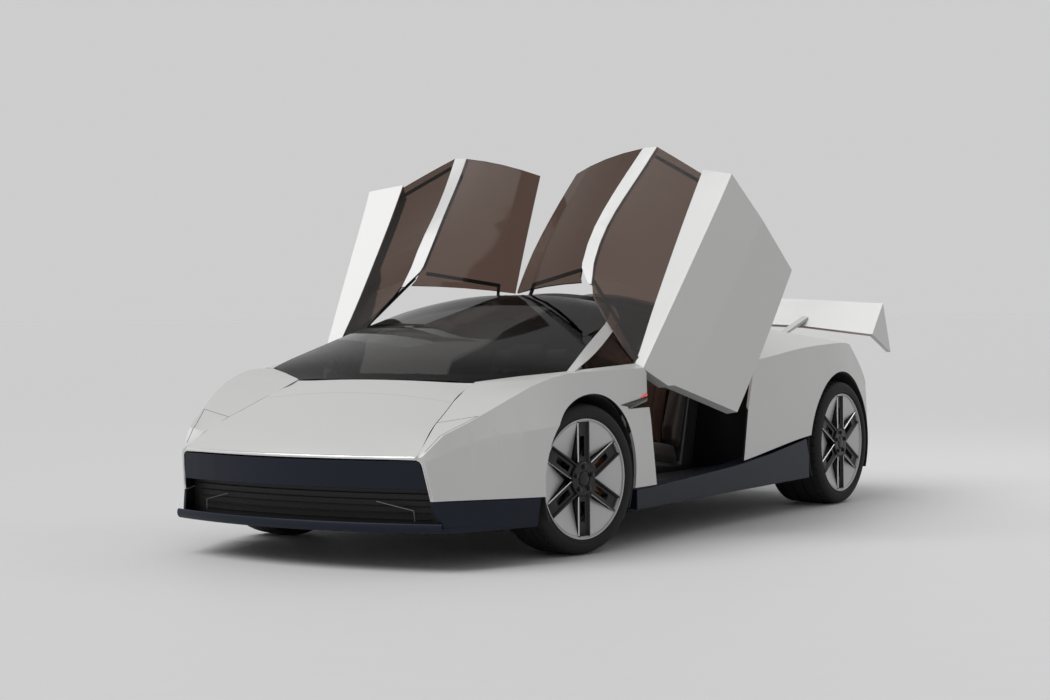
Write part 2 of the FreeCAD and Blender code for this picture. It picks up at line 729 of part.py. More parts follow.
# Quarters: rear flanks over the rear wheels, from the door to the tail
TAIL_TOP = body_point((1.25, 0.9, 0.735))
TAIL_CORNER = body_point((1.5875, 0.93, 0.547))
TAIL_FOOT = body_point((1.525, 0.97, 0.32))


def make_quarter():
    lines = [ridge, haunch, crease, flank, foot]
    wall = skin(lines, DOOR_REAR_FOOT.x + PANEL * 4, TAIL_CORNER.x - PANEL * 4, PANEL)
    wall = wall.cut(side_prism(door_outline(DOOR_SEAM), 0, 2 * HALF_WIDTH))
    wall = behind_plane(wall, facing_back(window_rear(DOOR_SEAM)))
    wall = wall.cut(wheel_space(REAR_AXLE_X, REAR_ARCH_RADIUS))
    far = TAIL_CORNER.x - OVERRUN
    behind = [
        (TAIL_TOP.x, ROOF_HEIGHT), (TAIL_TOP.x, TAIL_TOP.z), (TAIL_CORNER.x, TAIL_CORNER.z),
        (TAIL_FOOT.x, TAIL_FOOT.z), (TAIL_FOOT.x, 0), (far, 0), (far, ROOF_HEIGHT),
    ]
    return wall.cut(side_prism(behind, 0, 2 * HALF_WIDTH))


# Engine cover: rear deck between the flanks, from the roof panes to the tail
DECK_END = station_x(1.7125)


def make_engine_cover(quarter):
    inner = lambda x: ridge(x).y - SEAM
    deck = crowned_skin(ridge, deck_centre, station_x(GLASS_REAR_STATION), DECK_END, PANEL, inner)
    ahead = half_space(*facing_back(roof_rear(DOOR_SEAM)))
    deck = deck.cut([ahead, mirrored(ahead)])
    corner = tail_corner(TAIL_LEVEL_SHARES[0][1])
    arc = bowed_arc(corner, TAIL_BOW, 0, corner.y)
    front = station_x(GLASS_REAR_STATION)
    deck = deck.common(plan_prism(arc + [(front, HALF_WIDTH), (front, -HALF_WIDTH)], 0, 2 * ROOF_HEIGHT))
    bracket = make_wing_brackets()
    return fused([deck, bracket, mirrored(bracket)]).cut(quarter).cut(mirrored(quarter))


# Rear bumper: bowed tail wall between the flanks, with the lamp bar and the diffuser
TAIL_BOW = -330.0
TAIL_LEVEL_SHARES = (
    ((1.2687, 0.892, 0.733), 0.735), ((1.575, 0.912, 0.5469), 0.547), ((1.525, 0.935, 0.3196), 0.32),
)
LAMP_FOOT_SHARE = 0.57
LAMP_TOP_SHARE = 0.60
LAMP_DEPTH = 10.0
LAMP_PROUD = 3.0
LAMP_SPAN_SHARE = 0.95


def tail_corner(height_share):
    """The left corner of the tail outline at a height share."""
    corners = [body_point(corner) for corner, share in TAIL_LEVEL_SHARES]
    shares = [share for corner, share in TAIL_LEVEL_SHARES]
    index = 0 if height_share > shares[1] else 1
    along = (shares[index] - height_share) / (shares[index] - shares[index + 1])
    return corners[index] * (1 - along) + corners[index + 1] * along


def tail_wall(share_levels, depth, half_share=1):
    """A bowed wall across the tail through several heights."""
    outlines = []
    for share in share_levels:
        corner = tail_corner(share)
        outline = bowed_band(corner, TAIL_BOW, -depth, corner.y * half_share)
        outlines.append((outline, share * ROOF_HEIGHT))
    return stacked(outlines)


def make_rear_bumper(quarter, deck):
    wall = fused([
        tail_wall((0.32, 0.547), BUMPER_DEPTH), tail_wall((0.547, 0.735), BUMPER_DEPTH),
    ])
    recess = make_tail_lamp()
    wheels = wheel_space(REAR_AXLE_X, REAR_ARCH_RADIUS)
    return wall.cut(fused([recess, quarter, mirrored(quarter), deck, wheels, mirrored(wheels)]))


def make_tail_lamp():
    bar = tail_wall((LAMP_FOOT_SHARE, LAMP_TOP_SHARE), LAMP_DEPTH + LAMP_PROUD, LAMP_SPAN_SHARE)
    bar.translate(Vector(-LAMP_PROUD, 0, 0))
    return bar


# Wheels: dark arms between light covers, with the brake disc behind them
HUB_RADIUS = 72.0
HUB_BORE = 25.3
SPINDLE = 25.0
BARREL = 16.0
ARM_COUNT = 6
SPOKE_WIDTH = 40.0
SPOKE_THICKNESS = 20.0
SPOKE_SET_BACK = 4.0
HUB_SET_BACK = 2.0
COVER_SET_BACK = 8.0
COVER_DISH = 33.0
COVER_DEPTH = 35.0
COVER_INNER = 95.0
SLIT = 12.0
FLANGE = 10.0
DISC_RADIUS = 190.0
DISC_THICKNESS = 20.0
DISC_Y = 880.0
BELL_RADIUS = 78.0
HUB_INNER_Y = 870.0
SPINDLE_END_Y = 930.0
STUD_RADIUS = 56.0
STUD_HOLE = 7.5
STUD_COUNT = 5
STUD_DEPTH = 22.0
TREAD_EDGE = 40.0
SHOULDER_DROP = 6.0
SIDEWALL = 12.0


def make_tyre(axle_x, face, width):
    inner = face - width
    bore = RIM_RADIUS + SEAT_GAP
    half = [
        (SIDEWALL, bore), (0, RIM_RADIUS + SIDEWALL), (0, TYRE_RADIUS - TREAD_EDGE / 2),
        (SIDEWALL, TYRE_RADIUS - SHOULDER_DROP), (TREAD_EDGE, TYRE_RADIUS),
    ]
    profile = [(face - y, radius) for y, radius in half]
    profile += [(inner + y, radius) for y, radius in reversed(half)]
    return revolved(profile, axle_x)


def radial_box(axle_x, angle, low, high):
    """A box that stands out from an axle, turned about it; low and high are across, along and out."""
    bar = box(low, high)
    bar.rotate(Vector(), Vector(0, 1, 0), angle)
    bar.translate(Vector(axle_x, 0, TYRE_RADIUS))
    return bar


def ring(axle_x, inner, outer, near, far):
    """A flat ring about an axle."""
    return wheel_cylinder(axle_x, outer, near, far).cut(wheel_cylinder(axle_x, inner, near, far))


def make_rim(axle_x, face, width):
    inner = face - width + SIDEWALL
    outer = face - SIDEWALL
    profile = [
        (outer, RIM_RADIUS), (outer, RIM_RADIUS - FLANGE), (outer - SPOKE_WIDTH, RIM_RADIUS - BARREL),
        (inner + SPOKE_WIDTH, RIM_RADIUS - BARREL), (inner, RIM_RADIUS - FLANGE), (inner, RIM_RADIUS),
    ]
    pieces = [revolved(profile, axle_x)]
    turn = 360 / ARM_COUNT
    reach = RIM_RADIUS - BARREL / 2
    spoke_out = outer - SPOKE_SET_BACK
    hub_out = outer - HUB_SET_BACK
    cover_out = outer - COVER_SET_BACK
    cover = revolved([
        (cover_out, reach), (cover_out - COVER_DISH, COVER_INNER),
        (cover_out - COVER_DEPTH, COVER_INNER), (cover_out - COVER_DEPTH, reach),
    ], axle_x)
    half = SPOKE_WIDTH / 2
    for index in range(ARM_COUNT):
        low = (-half, spoke_out - SPOKE_THICKNESS, 0)
        pieces.append(radial_box(axle_x, index * turn, low, (half, spoke_out, reach)))
        slot = (-half - SLIT, spoke_out - SPOKE_THICKNESS * 2, 0)
        gap = (half + SLIT, outer + SLIT, reach - SLIT)
        cover = cover.cut(radial_box(axle_x, index * turn, slot, gap))
    pieces.append(cover)
    pieces.append(wheel_cylinder(axle_x, HUB_RADIUS, HUB_INNER_Y, hub_out))
    disc_half = DISC_THICKNESS / 2
    pieces.append(wheel_cylinder(axle_x, DISC_RADIUS, DISC_Y - disc_half, DISC_Y + disc_half))
    rim = fused(pieces)
    rim = rim.cut(wheel_cylinder(axle_x, HUB_BORE, HUB_INNER_Y - SLIT, SPINDLE_END_Y + SLIT))
    for index in range(STUD_COUNT):
        hole = Part.makeCylinder(STUD_HOLE, STUD_DEPTH, Vector(0, 0, 0), Vector(0, 1, 0))
        hole.translate(Vector(0, hub_out - STUD_DEPTH, STUD_RADIUS))
        hole.rotate(Vector(), Vector(0, 1, 0), (index + 1 / 2) * 360 / STUD_COUNT)
        hole.translate(Vector(axle_x, 0, TYRE_RADIUS))
        rim = rim.cut(hole)
    return rim


# Front suspension: an upright with the spindle on each side, between two wishbones
KINGPIN_Y = FRONT_WHEEL_FACE - FRONT_TYRE_WIDTH / 2
BALL_HEIGHT = 150.0
BALL_PIN = 8.0
BOSS_RADIUS = 24.0
BOSS_HEIGHT = 24.0
UPRIGHT_RADIUS = 20.0
UPRIGHT_GAP = 6.0
WISHBONE = 14.0
WISHBONE_SPREAD = 120.0
WISHBONE_ROOT_Y = 415.0
CALIPER_RADIUS = 215.0
CALIPER_INNER = 110.0
CALIPER_HALF = 30.0
CALIPER_SLOT = 16.0


def turned(shape, side=1):
    """A front wheel's shape turned about its kingpin to the angle it is parked at."""
    turned_shape = shape.copy()
    pivot = Vector(FRONT_AXLE_X, side * KINGPIN_Y, TYRE_RADIUS)
    turned_shape.rotate(pivot, Vector(0, 0, 1), STEER_AT_REST)
    return turned_shape


def caliper(axle_x):
    """Brake caliper behind the axle, around the disc."""
    body = wheel_cylinder(axle_x, CALIPER_RADIUS, DISC_Y - CALIPER_HALF, DISC_Y + CALIPER_HALF)
    body = body.cut(wheel_cylinder(axle_x, CALIPER_INNER, DISC_Y - CALIPER_HALF, DISC_Y + CALIPER_HALF))
    slot = wheel_cylinder(axle_x, CALIPER_RADIUS - SLIT, DISC_Y - CALIPER_SLOT, DISC_Y + CALIPER_SLOT)
    far = axle_x - OVERRUN
    outline = [(axle_x, TYRE_RADIUS), (far, TYRE_RADIUS + OVERRUN / 2), (far, TYRE_RADIUS - OVERRUN / 2)]
    return body.cut(slot).common(side_prism(outline, DISC_Y - CALIPER_HALF, DISC_Y + CALIPER_HALF))


def make_knuckle():
    centre = Vector(FRONT_AXLE_X, KINGPIN_Y, TYRE_RADIUS)
    up = Vector(0, 0, 1)
    half = BALL_HEIGHT - BOSS_HEIGHT / 2 - UPRIGHT_GAP
    reach = BALL_HEIGHT + BOSS_HEIGHT / 2
    post = rod(centre - up * half, centre + up * half, UPRIGHT_RADIUS)
    pin = rod(centre - up * reach, centre + up * reach, BALL_PIN)
    spindle = wheel_cylinder(FRONT_AXLE_X, SPINDLE, KINGPIN_Y, SPINDLE_END_Y)
    hanger = box(
        (FRONT_AXLE_X - CALIPER_RADIUS + SLIT, DISC_Y - CALIPER_HALF - SLIT, TYRE_RADIUS - UPRIGHT_RADIUS),
        (FRONT_AXLE_X, DISC_Y - CALIPER_HALF, TYRE_RADIUS + UPRIGHT_RADIUS),
    )
    return fused([post, pin, spindle, hanger, caliper(FRONT_AXLE_X)])


def wishbones(axle_x, ball_y, root_y, bore):
    """Two wishbones of a left wheel, one above the other, with a boss at each outer end."""
    shapes = []
    holes = []
    for way in (-1, 1):
        ball = Vector(axle_x, ball_y, TYRE_RADIUS + way * BALL_HEIGHT)
        for along in (-1, 1):
            root = Vector(axle_x + along * WISHBONE_SPREAD, root_y, ball.z)
            foot_of_arm = ball + (root - ball) * (BOSS_RADIUS / (root - ball).Length / 2)
            shapes.append(rod(foot_of_arm, root, WISHBONE - SLIT / 4))
        low = ball - Vector(0, 0, BOSS_HEIGHT / 2)
        shapes.append(Part.makeCylinder(BOSS_RADIUS, BOSS_HEIGHT, low))
        holes.append(Part.makeCylinder(bore, BOSS_HEIGHT, low))
    return fused(shapes).cut(fused(holes))


FRONT_RAIL_SHARES = (
    ((-0.2308, 0.37, 0.3883), (0.1099, 0.43, 0.4207)), ((-0.2308, 0.37, 0.1456), (0.1099, 0.43, 0.178)),
    ((-0.2308, 0.37, 0.1456), (-0.1923, 0.43, 0.6068)), ((0.0513, 0.37, 0.1618), (0.0659, 0.43, 0.2311)),
    ((-0.7692, 0.37, 0.356), (-0.1923, 0.43, 0.3883)), ((-0.8077, -0.5, 0.3236), (-0.7692, 0.5, 0.3883)),
    ((-0.2404, -0.5, 0.6028), (-0.1635, 0.5, 0.6351)),
    ((-0.2808, 0.16, 0.627), (-0.1923, 0.175, 0.6541)), ((-0.2808, 0.245, 0.627), (-0.1923, 0.26, 0.6541)),
)


def make_front_frame():
    """Rails beside the luggage tub, the crash beam, and the cowl with the pins of the hood's hinge."""
    side = share_blocks([corners for corners in FRONT_RAIL_SHARES])
    near, far = HOOD_ARM_SPAN
    reach = HOOD_ARM
    start = Vector(SCREEN_CORNER.x, near - reach, SCREEN_CORNER.z)
    pin = Part.makeCylinder(HOOD_PIN, far - near + 2 * reach, start, Vector(0, 1, 0))
    side = side.fuse(pin)
    return fused([side, mirrored(side)])


def make_front_suspension(frame):
    side = wishbones(FRONT_AXLE_X, KINGPIN_Y, WISHBONE_ROOT_Y + SLIT, BALL_PIN + SEAT_GAP)
    rack = rod(body_point((0.0586, -0.6, 0.2427)), body_point((0.0586, 0.6, 0.2427)), WISHBONE)
    return Part.makeCompound([side.cut(frame), mirrored(side).cut(frame), rack])


# Rear suspension: subframe, driveshafts, wishbones and uprights with the spindles
REAR_UPRIGHT_SHARES = ((0.9853, 0.8, 0.1578), (1.05, 0.862, 0.4086))
REAR_FRAME_SHARES = (
    ((0.9158, 0.345, 0.1456), (1.3625, 0.395, 0.178)), ((0.9158, 0.345, 0.3883), (1.3625, 0.395, 0.4207)),
    ((0.9158, 0.345, 0.1456), (0.9304, 0.395, 0.4207)), ((1.3125, 0.345, 0.1456), (1.3625, 0.395, 0.4207)),
    ((1.3125, -0.395, 0.1456), (1.3625, 0.395, 0.178)),
    ((0.6667, 0.345, 0.1537), (0.9304, 0.395, 0.1861)),
)
DRIVESHAFT = 16.0


def make_rear_suspension():
    upright = share_block(REAR_UPRIGHT_SHARES)
    upright = upright.fuse(wheel_cylinder(REAR_AXLE_X, SPINDLE, upright.BoundBox.YMax, SPINDLE_END_Y))
    root = WISHBONE_ROOT_Y - UPRIGHT_RADIUS * 2
    arms = []
    for way in (-1, 1):
        for along in (-1, 1):
            height = TYRE_RADIUS + way * (BALL_HEIGHT - BOSS_HEIGHT / 2)
            end = Vector(REAR_AXLE_X, upright.BoundBox.YMin + SLIT, height)
            start = Vector(REAR_AXLE_X + along * WISHBONE_SPREAD, root, height)
            arms.append(rod(start, end, WISHBONE))
    shaft = wheel_cylinder(REAR_AXLE_X, DRIVESHAFT, GEARBOX_HALF_WIDTH, upright.BoundBox.YMin + SLIT)
    plate = box(
        (REAR_AXLE_X - CALIPER_RADIUS + SLIT, DISC_Y - CALIPER_HALF - SLIT, TYRE_RADIUS - UPRIGHT_RADIUS),
        (REAR_AXLE_X, DISC_Y - CALIPER_HALF, TYRE_RADIUS + UPRIGHT_RADIUS),
    )
    plate = plate.cut(upright)
    side = fused([upright, *arms, shaft, plate, caliper(REAR_AXLE_X), share_blocks(REAR_FRAME_SHARES)])
    return fused([side, mirrored(side)])


# Power unit: engine and gearbox as one plain mass behind the seats
GEARBOX_HALF_WIDTH = 0.18 * HALF_WIDTH
POWER_UNIT_SHARES = (
    ((0.6886, -0.32, 0.1942), (0.9121, 0.32, 0.6311)), ((0.9084, -0.18, 0.2023), (1.3, 0.18, 0.4045)),
)

# Tub: floor, side beams and bulkheads of the cabin
TUB_SHARES = (
    ((0.1099, -0.53, 0.1456), (0.1612, 0.53, 0.1861)), ((0.1538, -0.74, 0.1456), (0.6593, 0.74, 0.1861)),
    ((0.1612, 0.73, 0.1456), (0.6593, 0.885, 0.2306)), ((0.1612, -0.73, 0.1456), (0.6593, -0.885, 0.2306)),
    ((0.1099, -0.53, 0.1456), (0.1245, 0.53, 0.5987)),
    ((0.1612, -0.885, 0.2306), (0.1758, -0.72, 0.6472)), ((0.1612, 0.885, 0.2306), (0.1758, 0.72, 0.6472)),
    ((0.1612, -0.925, 0.5502), (0.1758, -0.72, 0.6472)), ((0.1612, 0.925, 0.5502), (0.1758, 0.72, 0.6472)),
    ((0.1245, -0.53, 0.1861), (0.1612, -0.5, 0.5987)), ((0.1245, 0.53, 0.1861), (0.1612, 0.5, 0.5987)),
    ((0.1538, -0.885, 0.534), (0.1758, 0.885, 0.5987)), ((0.1538, 0.5, 0.1861), (0.1685, 0.74, 0.5987)),
    ((0.1538, -0.5, 0.1861), (0.1685, -0.74, 0.5987)),
    ((0.652, 0.72, 0.2306), (0.6667, 0.885, 0.6472)), ((0.652, -0.72, 0.2306), (0.6667, -0.885, 0.6472)),
    ((0.652, 0.72, 0.2848), (0.6667, 0.965, 0.6472)), ((0.652, -0.72, 0.2848), (0.6667, -0.965, 0.6472)),
)
REAR_BULKHEAD_SHARES = (
    (-0.74, 0.18), (0.74, 0.18), (0.74, 0.66), (0.66, 0.72), (0.43, 0.84), (-0.43, 0.84), (-0.66, 0.72),
    (-0.74, 0.66),
)
BULKHEAD_FRONT = station_x(0.652)
BULKHEAD_REAR = station_x(0.6667)


def make_tub():
    bulkhead = cross_prism(REAR_BULKHEAD_SHARES, BULKHEAD_FRONT, BULKHEAD_REAR)
    bracket = make_hinge_bracket()
    return fused([share_blocks(TUB_SHARES), bulkhead, bracket, mirrored(bracket)])


# Undertray: flat floor under the whole car, narrow between the wheels
UNDERTRAY_SHARES = (
    (-0.4038, 0.53), (0.1612, 0.53), (0.1612, 0.87), (0.84, 0.87), (0.84, 0.53), (1.32, 0.53),
)
UNDERTRAY_THICKNESS = 14.7


def make_undertray():
    half = [(station_x(station), side * HALF_WIDTH) for station, side in UNDERTRAY_SHARES]
    outline = half + [(x, -y) for x, y in reversed(half)]
    return plan_prism(outline, GROUND_CLEARANCE, GROUND_CLEARANCE + UNDERTRAY_THICKNESS)


# Sills: dark strips under the doors, rising to the rear wheels
SILL_SHARES = (
    (0.1502, 0.1383), (0.1502, 0.2168), (0.2198, 0.2168), (0.5201, 0.2492), (0.6777, 0.2791),
    (0.8352, 0.322), (0.8462, 0.2427), (0.8462, 0.1456),
)
SILL_NEAR = 0.8853 * HALF_WIDTH
SILL_FAR = 0.985 * HALF_WIDTH


def make_sill():
    return side_prism(side_outline(SILL_SHARES), SILL_NEAR, SILL_FAR)


# Wheel houses: thin liners over the wheels, between the body and the tub
LINER_NEAR = 0.53 * HALF_WIDTH
LINER_FAR = 0.975 * HALF_WIDTH
LINER_FOOT = 0.15 * ROOF_HEIGHT
LINER_OPENING = 0.7


def make_wheel_house(axle_x, radius):
    outer = radius - SEAT_GAP
    shell = ring(axle_x, outer - LINER, outer, LINER_NEAR, LINER_FAR)
    wall = ring(axle_x, outer * LINER_OPENING, outer, LINER_NEAR, LINER_NEAR + LINER)
    below = box((axle_x - OVERRUN, 0, -OVERRUN), (axle_x + OVERRUN, 2 * HALF_WIDTH, LINER_FOOT))
    return fused([shell, wall]).cut(below)


# Roof frame: header over the windscreen, spine between the roof panes, rear hoop and hinge pins
HEADER_SPAN = (station_x(0.2784), station_x(0.293), station_x(0.3278))
HEADER_NOTCH_SHARES = ((0.307, 0.062, 0.89), (0.3333, 0.138, 1.0032))
HEADER_DROP = 20.0
HOOP_DROP = 32.3
HEADER_DEPTH = 26.0
SPINE_HALF = 34.0
SPINE_DROP = 24.0
HOOP_SPAN = (station_x(0.6593), station_x(0.6813))


def lowered(shape, drop):
    """A shape moved down."""
    moved = shape.copy()
    moved.translate(Vector(0, 0, -drop))
    return moved


def make_roof_frame():
    front, step, back = HEADER_SPAN
    inner = lambda x: pillar(x).y - RAIL
    ledge = crowned_skin(screen_edge, roof_centre, front, step, HEADER_DEPTH, inner)
    beam_across = crowned_skin(pillar, roof_centre, front - SLIT, back, HEADER_DEPTH, inner)
    spine = crowned_skin(pillar, roof_centre, back + SLIT, HOOP_SPAN[1], HEADER_DEPTH, lambda x: SPINE_HALF)
    hoop_half = lambda x: ridge(x).y - PANEL
    hoop = crowned_skin(ridge, deck_centre, HOOP_SPAN[0], HOOP_SPAN[1], HEADER_DEPTH, hoop_half)
    frame = fused([
        lowered(ledge, GLASS + SEAT_GAP), lowered(beam_across, HEADER_DROP), lowered(spine, SPINE_DROP),
        lowered(hoop, HOOP_DROP),
    ])
    tube_space = (HIGH_HINGE_SPAN[0] - UPRIGHT_GAP, HIGH_HINGE_SPAN[1] + UPRIGHT_GAP)
    room = hinge_rod(tube_space, HINGE_TUBE + DOOR_SEAM, True)
    notch = share_block(HEADER_NOTCH_SHARES)
    frame = frame.cut([room, mirrored(room), notch, mirrored(notch)])
    pin = hinge_rod((HIGH_HINGE_SPAN[0] - SLIT * 2, HIGH_HINGE_SPAN[1] + SLIT * 2), HINGE_PIN, True)
    lug = hinge_rod((HIGH_HINGE_SPAN[0] - SLIT * 2, HIGH_HINGE_SPAN[0] - UPRIGHT_GAP), HINGE_TUBE, True)
    end_lug = hinge_rod((HIGH_HINGE_SPAN[1] + UPRIGHT_GAP, HIGH_HINGE_SPAN[1] + SLIT * 2), HINGE_TUBE, True)
    return fused([frame, pin, lug, end_lug, mirrored(pin), mirrored(lug), mirrored(end_lug)])


# Hinge brackets: lower door hinge pins on the front posts
BRACKET_REACH = 90.0


def make_hinge_bracket():
    near, far = LOW_HINGE_SPAN
    near_lug = (near - SLIT, near - HINGE_GAP * 2)
    far_lug = (far + HINGE_GAP * 2, far + SLIT * 3)
    pieces = [hinge_rod((near_lug[0], far_lug[1]), HINGE_PIN, False)]
    for lug, root in ((near_lug, near - SLIT / 2), (far_lug, far_lug[1] - SLIT / 2)):
        pieces.append(hinge_rod(lug, HINGE_TUBE - HINGE_GAP, False))
        start = on_hinge(root)
        end = Vector(start.x + BRACKET_REACH, start.y, start.z - BRACKET_REACH)
        pieces.append(beam(start, end, HINGE_TUBE, HINGE_LUG))
    return fused(pieces)


# Cabin: seats, dashboard, console and steering wheel
CUSHION_SHARES = (
    (0.3663, 0.1863), (0.359, 0.3236), (0.3736, 0.3479), (0.5201, 0.2913), (0.5714, 0.716),
    (0.5934, 0.7605), (0.6227, 0.7524), (0.6355, 0.6998), (0.5861, 0.2589), (0.5788, 0.1863),
)
SEAT_NEAR = 0.155 * HALF_WIDTH
SEAT_FAR = 0.655 * HALF_WIDTH
DASH_SHARES = (
    (0.1759, 0.4045), (0.1759, 0.6311), (0.2015, 0.6472), (0.2564, 0.6149),
    (0.2637, 0.5663), (0.2344, 0.4854), (0.2271, 0.4045),
)
DASH_HALF = 0.80 * HALF_WIDTH
CONSOLE_SHARES = (
    (0.1759, 0.1863), (0.1759, 0.4043), (0.293, 0.4043), (0.4762, 0.3398), (0.5495, 0.3236),
    (0.5495, 0.1863),
)
CONSOLE_HALF = 0.11 * HALF_WIDTH
STEERING_CENTRE = body_point((0.315, 0.4, 0.5663))
STEERING_ROOT = body_point((0.2564, 0.4, 0.534))
STEERING_RADIUS = 170.0
STEERING_RIM = 15.0
STEERING_SPOKE = 30.0
COLUMN = 25.0


def make_steering_wheel(dash):
    axis = STEERING_CENTRE - STEERING_ROOT
    rim = Part.makeTorus(STEERING_RADIUS, STEERING_RIM, Vector(), Vector(0, 0, 1))
    reach, half, thin = STEERING_RADIUS, STEERING_SPOKE / 2, STEERING_RIM / 2
    spoke = box((-reach, -half, -thin), (reach, half, thin))
    lower = box((-half, -reach, -thin), (half, 0, thin))
    boss = Part.makeCylinder(STEERING_SPOKE * 1.5, STEERING_SPOKE, Vector(0, 0, -STEERING_SPOKE / 2))
    wheel = fused([rim, spoke, lower, boss])
    turn = FreeCAD.Rotation(Vector(0, 1, 0), Vector(0, 0, 1), axis, "ZYX")
    wheel.Placement = FreeCAD.Placement(STEERING_CENTRE, turn)
    column = rod(STEERING_ROOT, STEERING_CENTRE, COLUMN)
    return wheel.fuse(column).cut(dash)


# Luggage tub under the hood
LUGGAGE_SHARES = ((-0.7115, -0.36, 0.1551), (-0.0962, 0.36, 0.4854))
LUGGAGE_ROOM_SHARES = ((-0.7058, -0.354, 0.1602), (-0.1019, 0.354, 0.5663))

# Diffuser: dark ramp with fins under the tail
DIFFUSER_SHARES = (
    (1.3625, 0.1335), (1.3625, 0.1618), (1.7875, 0.2913), (1.8125, 0.267),
)
DIFFUSER_HALF = 0.525 * HALF_WIDTH
FIN_SHARES = (
    (1.4, 0.1375), (1.7875, 0.267), (1.7875, 0.1942), (1.4625, 0.1335),
)
FIN_PLACES_SHARES = (-0.51, -0.255, 0, 0.255, 0.51)


def make_diffuser():
    ramp = side_prism(side_outline(DIFFUSER_SHARES), -DIFFUSER_HALF, DIFFUSER_HALF)
    fins = []
    for place in FIN_PLACES_SHARES:
        middle = place * HALF_WIDTH
        fins.append(side_prism(side_outline(FIN_SHARES), middle - PANEL / 2, middle + PANEL / 2))
    return fused([ramp, *fins])


# Tail wing: raised plate with turned-down ends, tilting on a hinge at its front edge
WING_EDGE_SHARES = (
    ((1.7875, 0, 0.8333), (1.975, 0, 0.9628)), ((1.7788, 0.45, 0.8172), (1.975, 0.45, 0.945)),
    ((1.7712, 0.9, 0.7751), (1.975, 0.9, 0.9248)),
)
WING_TIP_SHARES = ((1.7712, 0.7751), (1.975, 0.9248), (2.1125, 0.6828))
WING_THICKNESS = 20.0
WING_HINGE = body_point((1.4875, 0.4, 0.7646))
WING_PIN = 6.0
WING_TUBE = 12.0
WING_ARM_WIDTH = 40.0
WING_LUG = 10.0


def wing_section(front, rear):
    """Four corners of the wing plate's section between its two edges."""
    run = rear - front
    normal = Vector(run.z, 0, -run.x) * (WING_THICKNESS / math.hypot(run.x, run.z))
    return [front, rear, rear + normal * -1, front + normal * -1]


def make_wing():
    places = [[body_point(edge) for edge in edges] for edges in WING_EDGE_SHARES]
    sections = [wing_section(*edges) for edges in places]
    side = ruled_solid(sections)
    tip = side_prism(side_outline(WING_TIP_SHARES), places[-1][0].y - PANEL, places[-1][0].y + PANEL)
    near, far = WING_HINGE.y - WING_ARM_WIDTH / 2, WING_HINGE.y + WING_ARM_WIDTH / 2
    pivot = Vector(WING_HINGE.x, near, WING_HINGE.z)
    tube = Part.makeCylinder(WING_TUBE, far - near, pivot, Vector(0, 1, 0))
    front, rear = places[1]
    arm_end = front + (rear - front) * 0.3
    arm = beam(WING_HINGE, arm_end, WING_TUBE * 1.5, WING_ARM_WIDTH)
    hole = Part.makeCylinder(WING_PIN + SEAT_GAP, far - near + WING_LUG * 2,
                             pivot - Vector(0, WING_LUG, 0), Vector(0, 1, 0))
    side = fused([side, tip, tube, arm]).cut(hole)
    return fused([side, mirrored(side)])


def make_wing_brackets():
    """Lugs with the wing's hinge pins, which stand on the engine cover."""
    near = WING_HINGE.y - WING_ARM_WIDTH / 2 - WING_LUG * 2
    far = WING_HINGE.y + WING_ARM_WIDTH / 2 + WING_LUG
    pieces = []
    for y in (near, far):
        foot_z = deck_centre(WING_HINGE.x).z - SPINE_HALF
        low = (WING_HINGE.x - WING_TUBE, y, foot_z)
        pieces.append(box(low, (WING_HINGE.x + WING_TUBE, y + WING_LUG, WING_HINGE.z + WING_TUBE)))
    start = Vector(WING_HINGE.x, near, WING_HINGE.z)
    pieces.append(Part.makeCylinder(WING_PIN, far - near + WING_LUG, start, Vector(0, 1, 0)))
    return fused(pieces)


os.makedirs("parts", exist_ok=True)
fender = make_fender()
quarter = make_quarter()
deck = make_engine_cover(quarter)
front_wheel = make_rim(FRONT_AXLE_X, FRONT_WHEEL_FACE, FRONT_TYRE_WIDTH)
front_tyre = make_tyre(FRONT_AXLE_X, FRONT_WHEEL_FACE, FRONT_TYRE_WIDTH)
rear_wheel = make_rim(REAR_AXLE_X, REAR_WHEEL_FACE, REAR_TYRE_WIDTH)
rear_tyre = make_tyre(REAR_AXLE_X, REAR_WHEEL_FACE, REAR_TYRE_WIDTH)
knuckle = make_knuckle()
front_frame = make_front_frame()
windscreen = make_windscreen(fender)
pillar_strip = make_pillar(fender, windscreen)
wheel_houses = [
    make_wheel_house(FRONT_AXLE_X, FRONT_ARCH_RADIUS), make_wheel_house(REAR_AXLE_X, REAR_ARCH_RADIUS),
]
sill = make_sill()
dash = side_prism(side_outline(DASH_SHARES), -DASH_HALF, DASH_HALF)
seat = side_prism(side_outline(CUSHION_SHARES), SEAT_NEAR, SEAT_FAR)
save("tub", make_tub())
save("front_frame", front_frame)
save("undertray", make_undertray())
save("sills", both_sides(sill))
save("front_bumper", make_bumper(fender))
save("intake_grille", make_grille(fender))
save("splitter", make_splitter())
save("hood", make_hood(fender))
save("luggage_tub", share_block(LUGGAGE_SHARES).cut(share_block(LUGGAGE_ROOM_SHARES)))
save("fender_left", fender)
save("fender_right", mirrored(fender))
save("wheel_houses", Part.makeCompound(wheel_houses + [mirrored(shape) for shape in wheel_houses]))
save("windscreen", windscreen)
save("pillars", both_sides(pillar_strip))
save("quarter_windows", both_sides(make_quarter_window(pillar_strip, fender)))
save("roof_frame", make_roof_frame())
save("quarter_left", quarter)
save("quarter_right", mirrored(quarter))
save("engine_cover", deck)
save("rear_bumper", make_rear_bumper(quarter, deck))
save("tail_lamp", make_tail_lamp())
save("diffuser", make_diffuser())
save("seat_left", seat)
save("seat_right", mirrored(seat))
save("dashboard", dash)
save("console", side_prism(side_outline(CONSOLE_SHARES), -CONSOLE_HALF, CONSOLE_HALF))
save("steering_wheel", make_steering_wheel(dash))
save("power_unit", share_blocks(POWER_UNIT_SHARES))
save("front_suspension", make_front_suspension(front_frame))
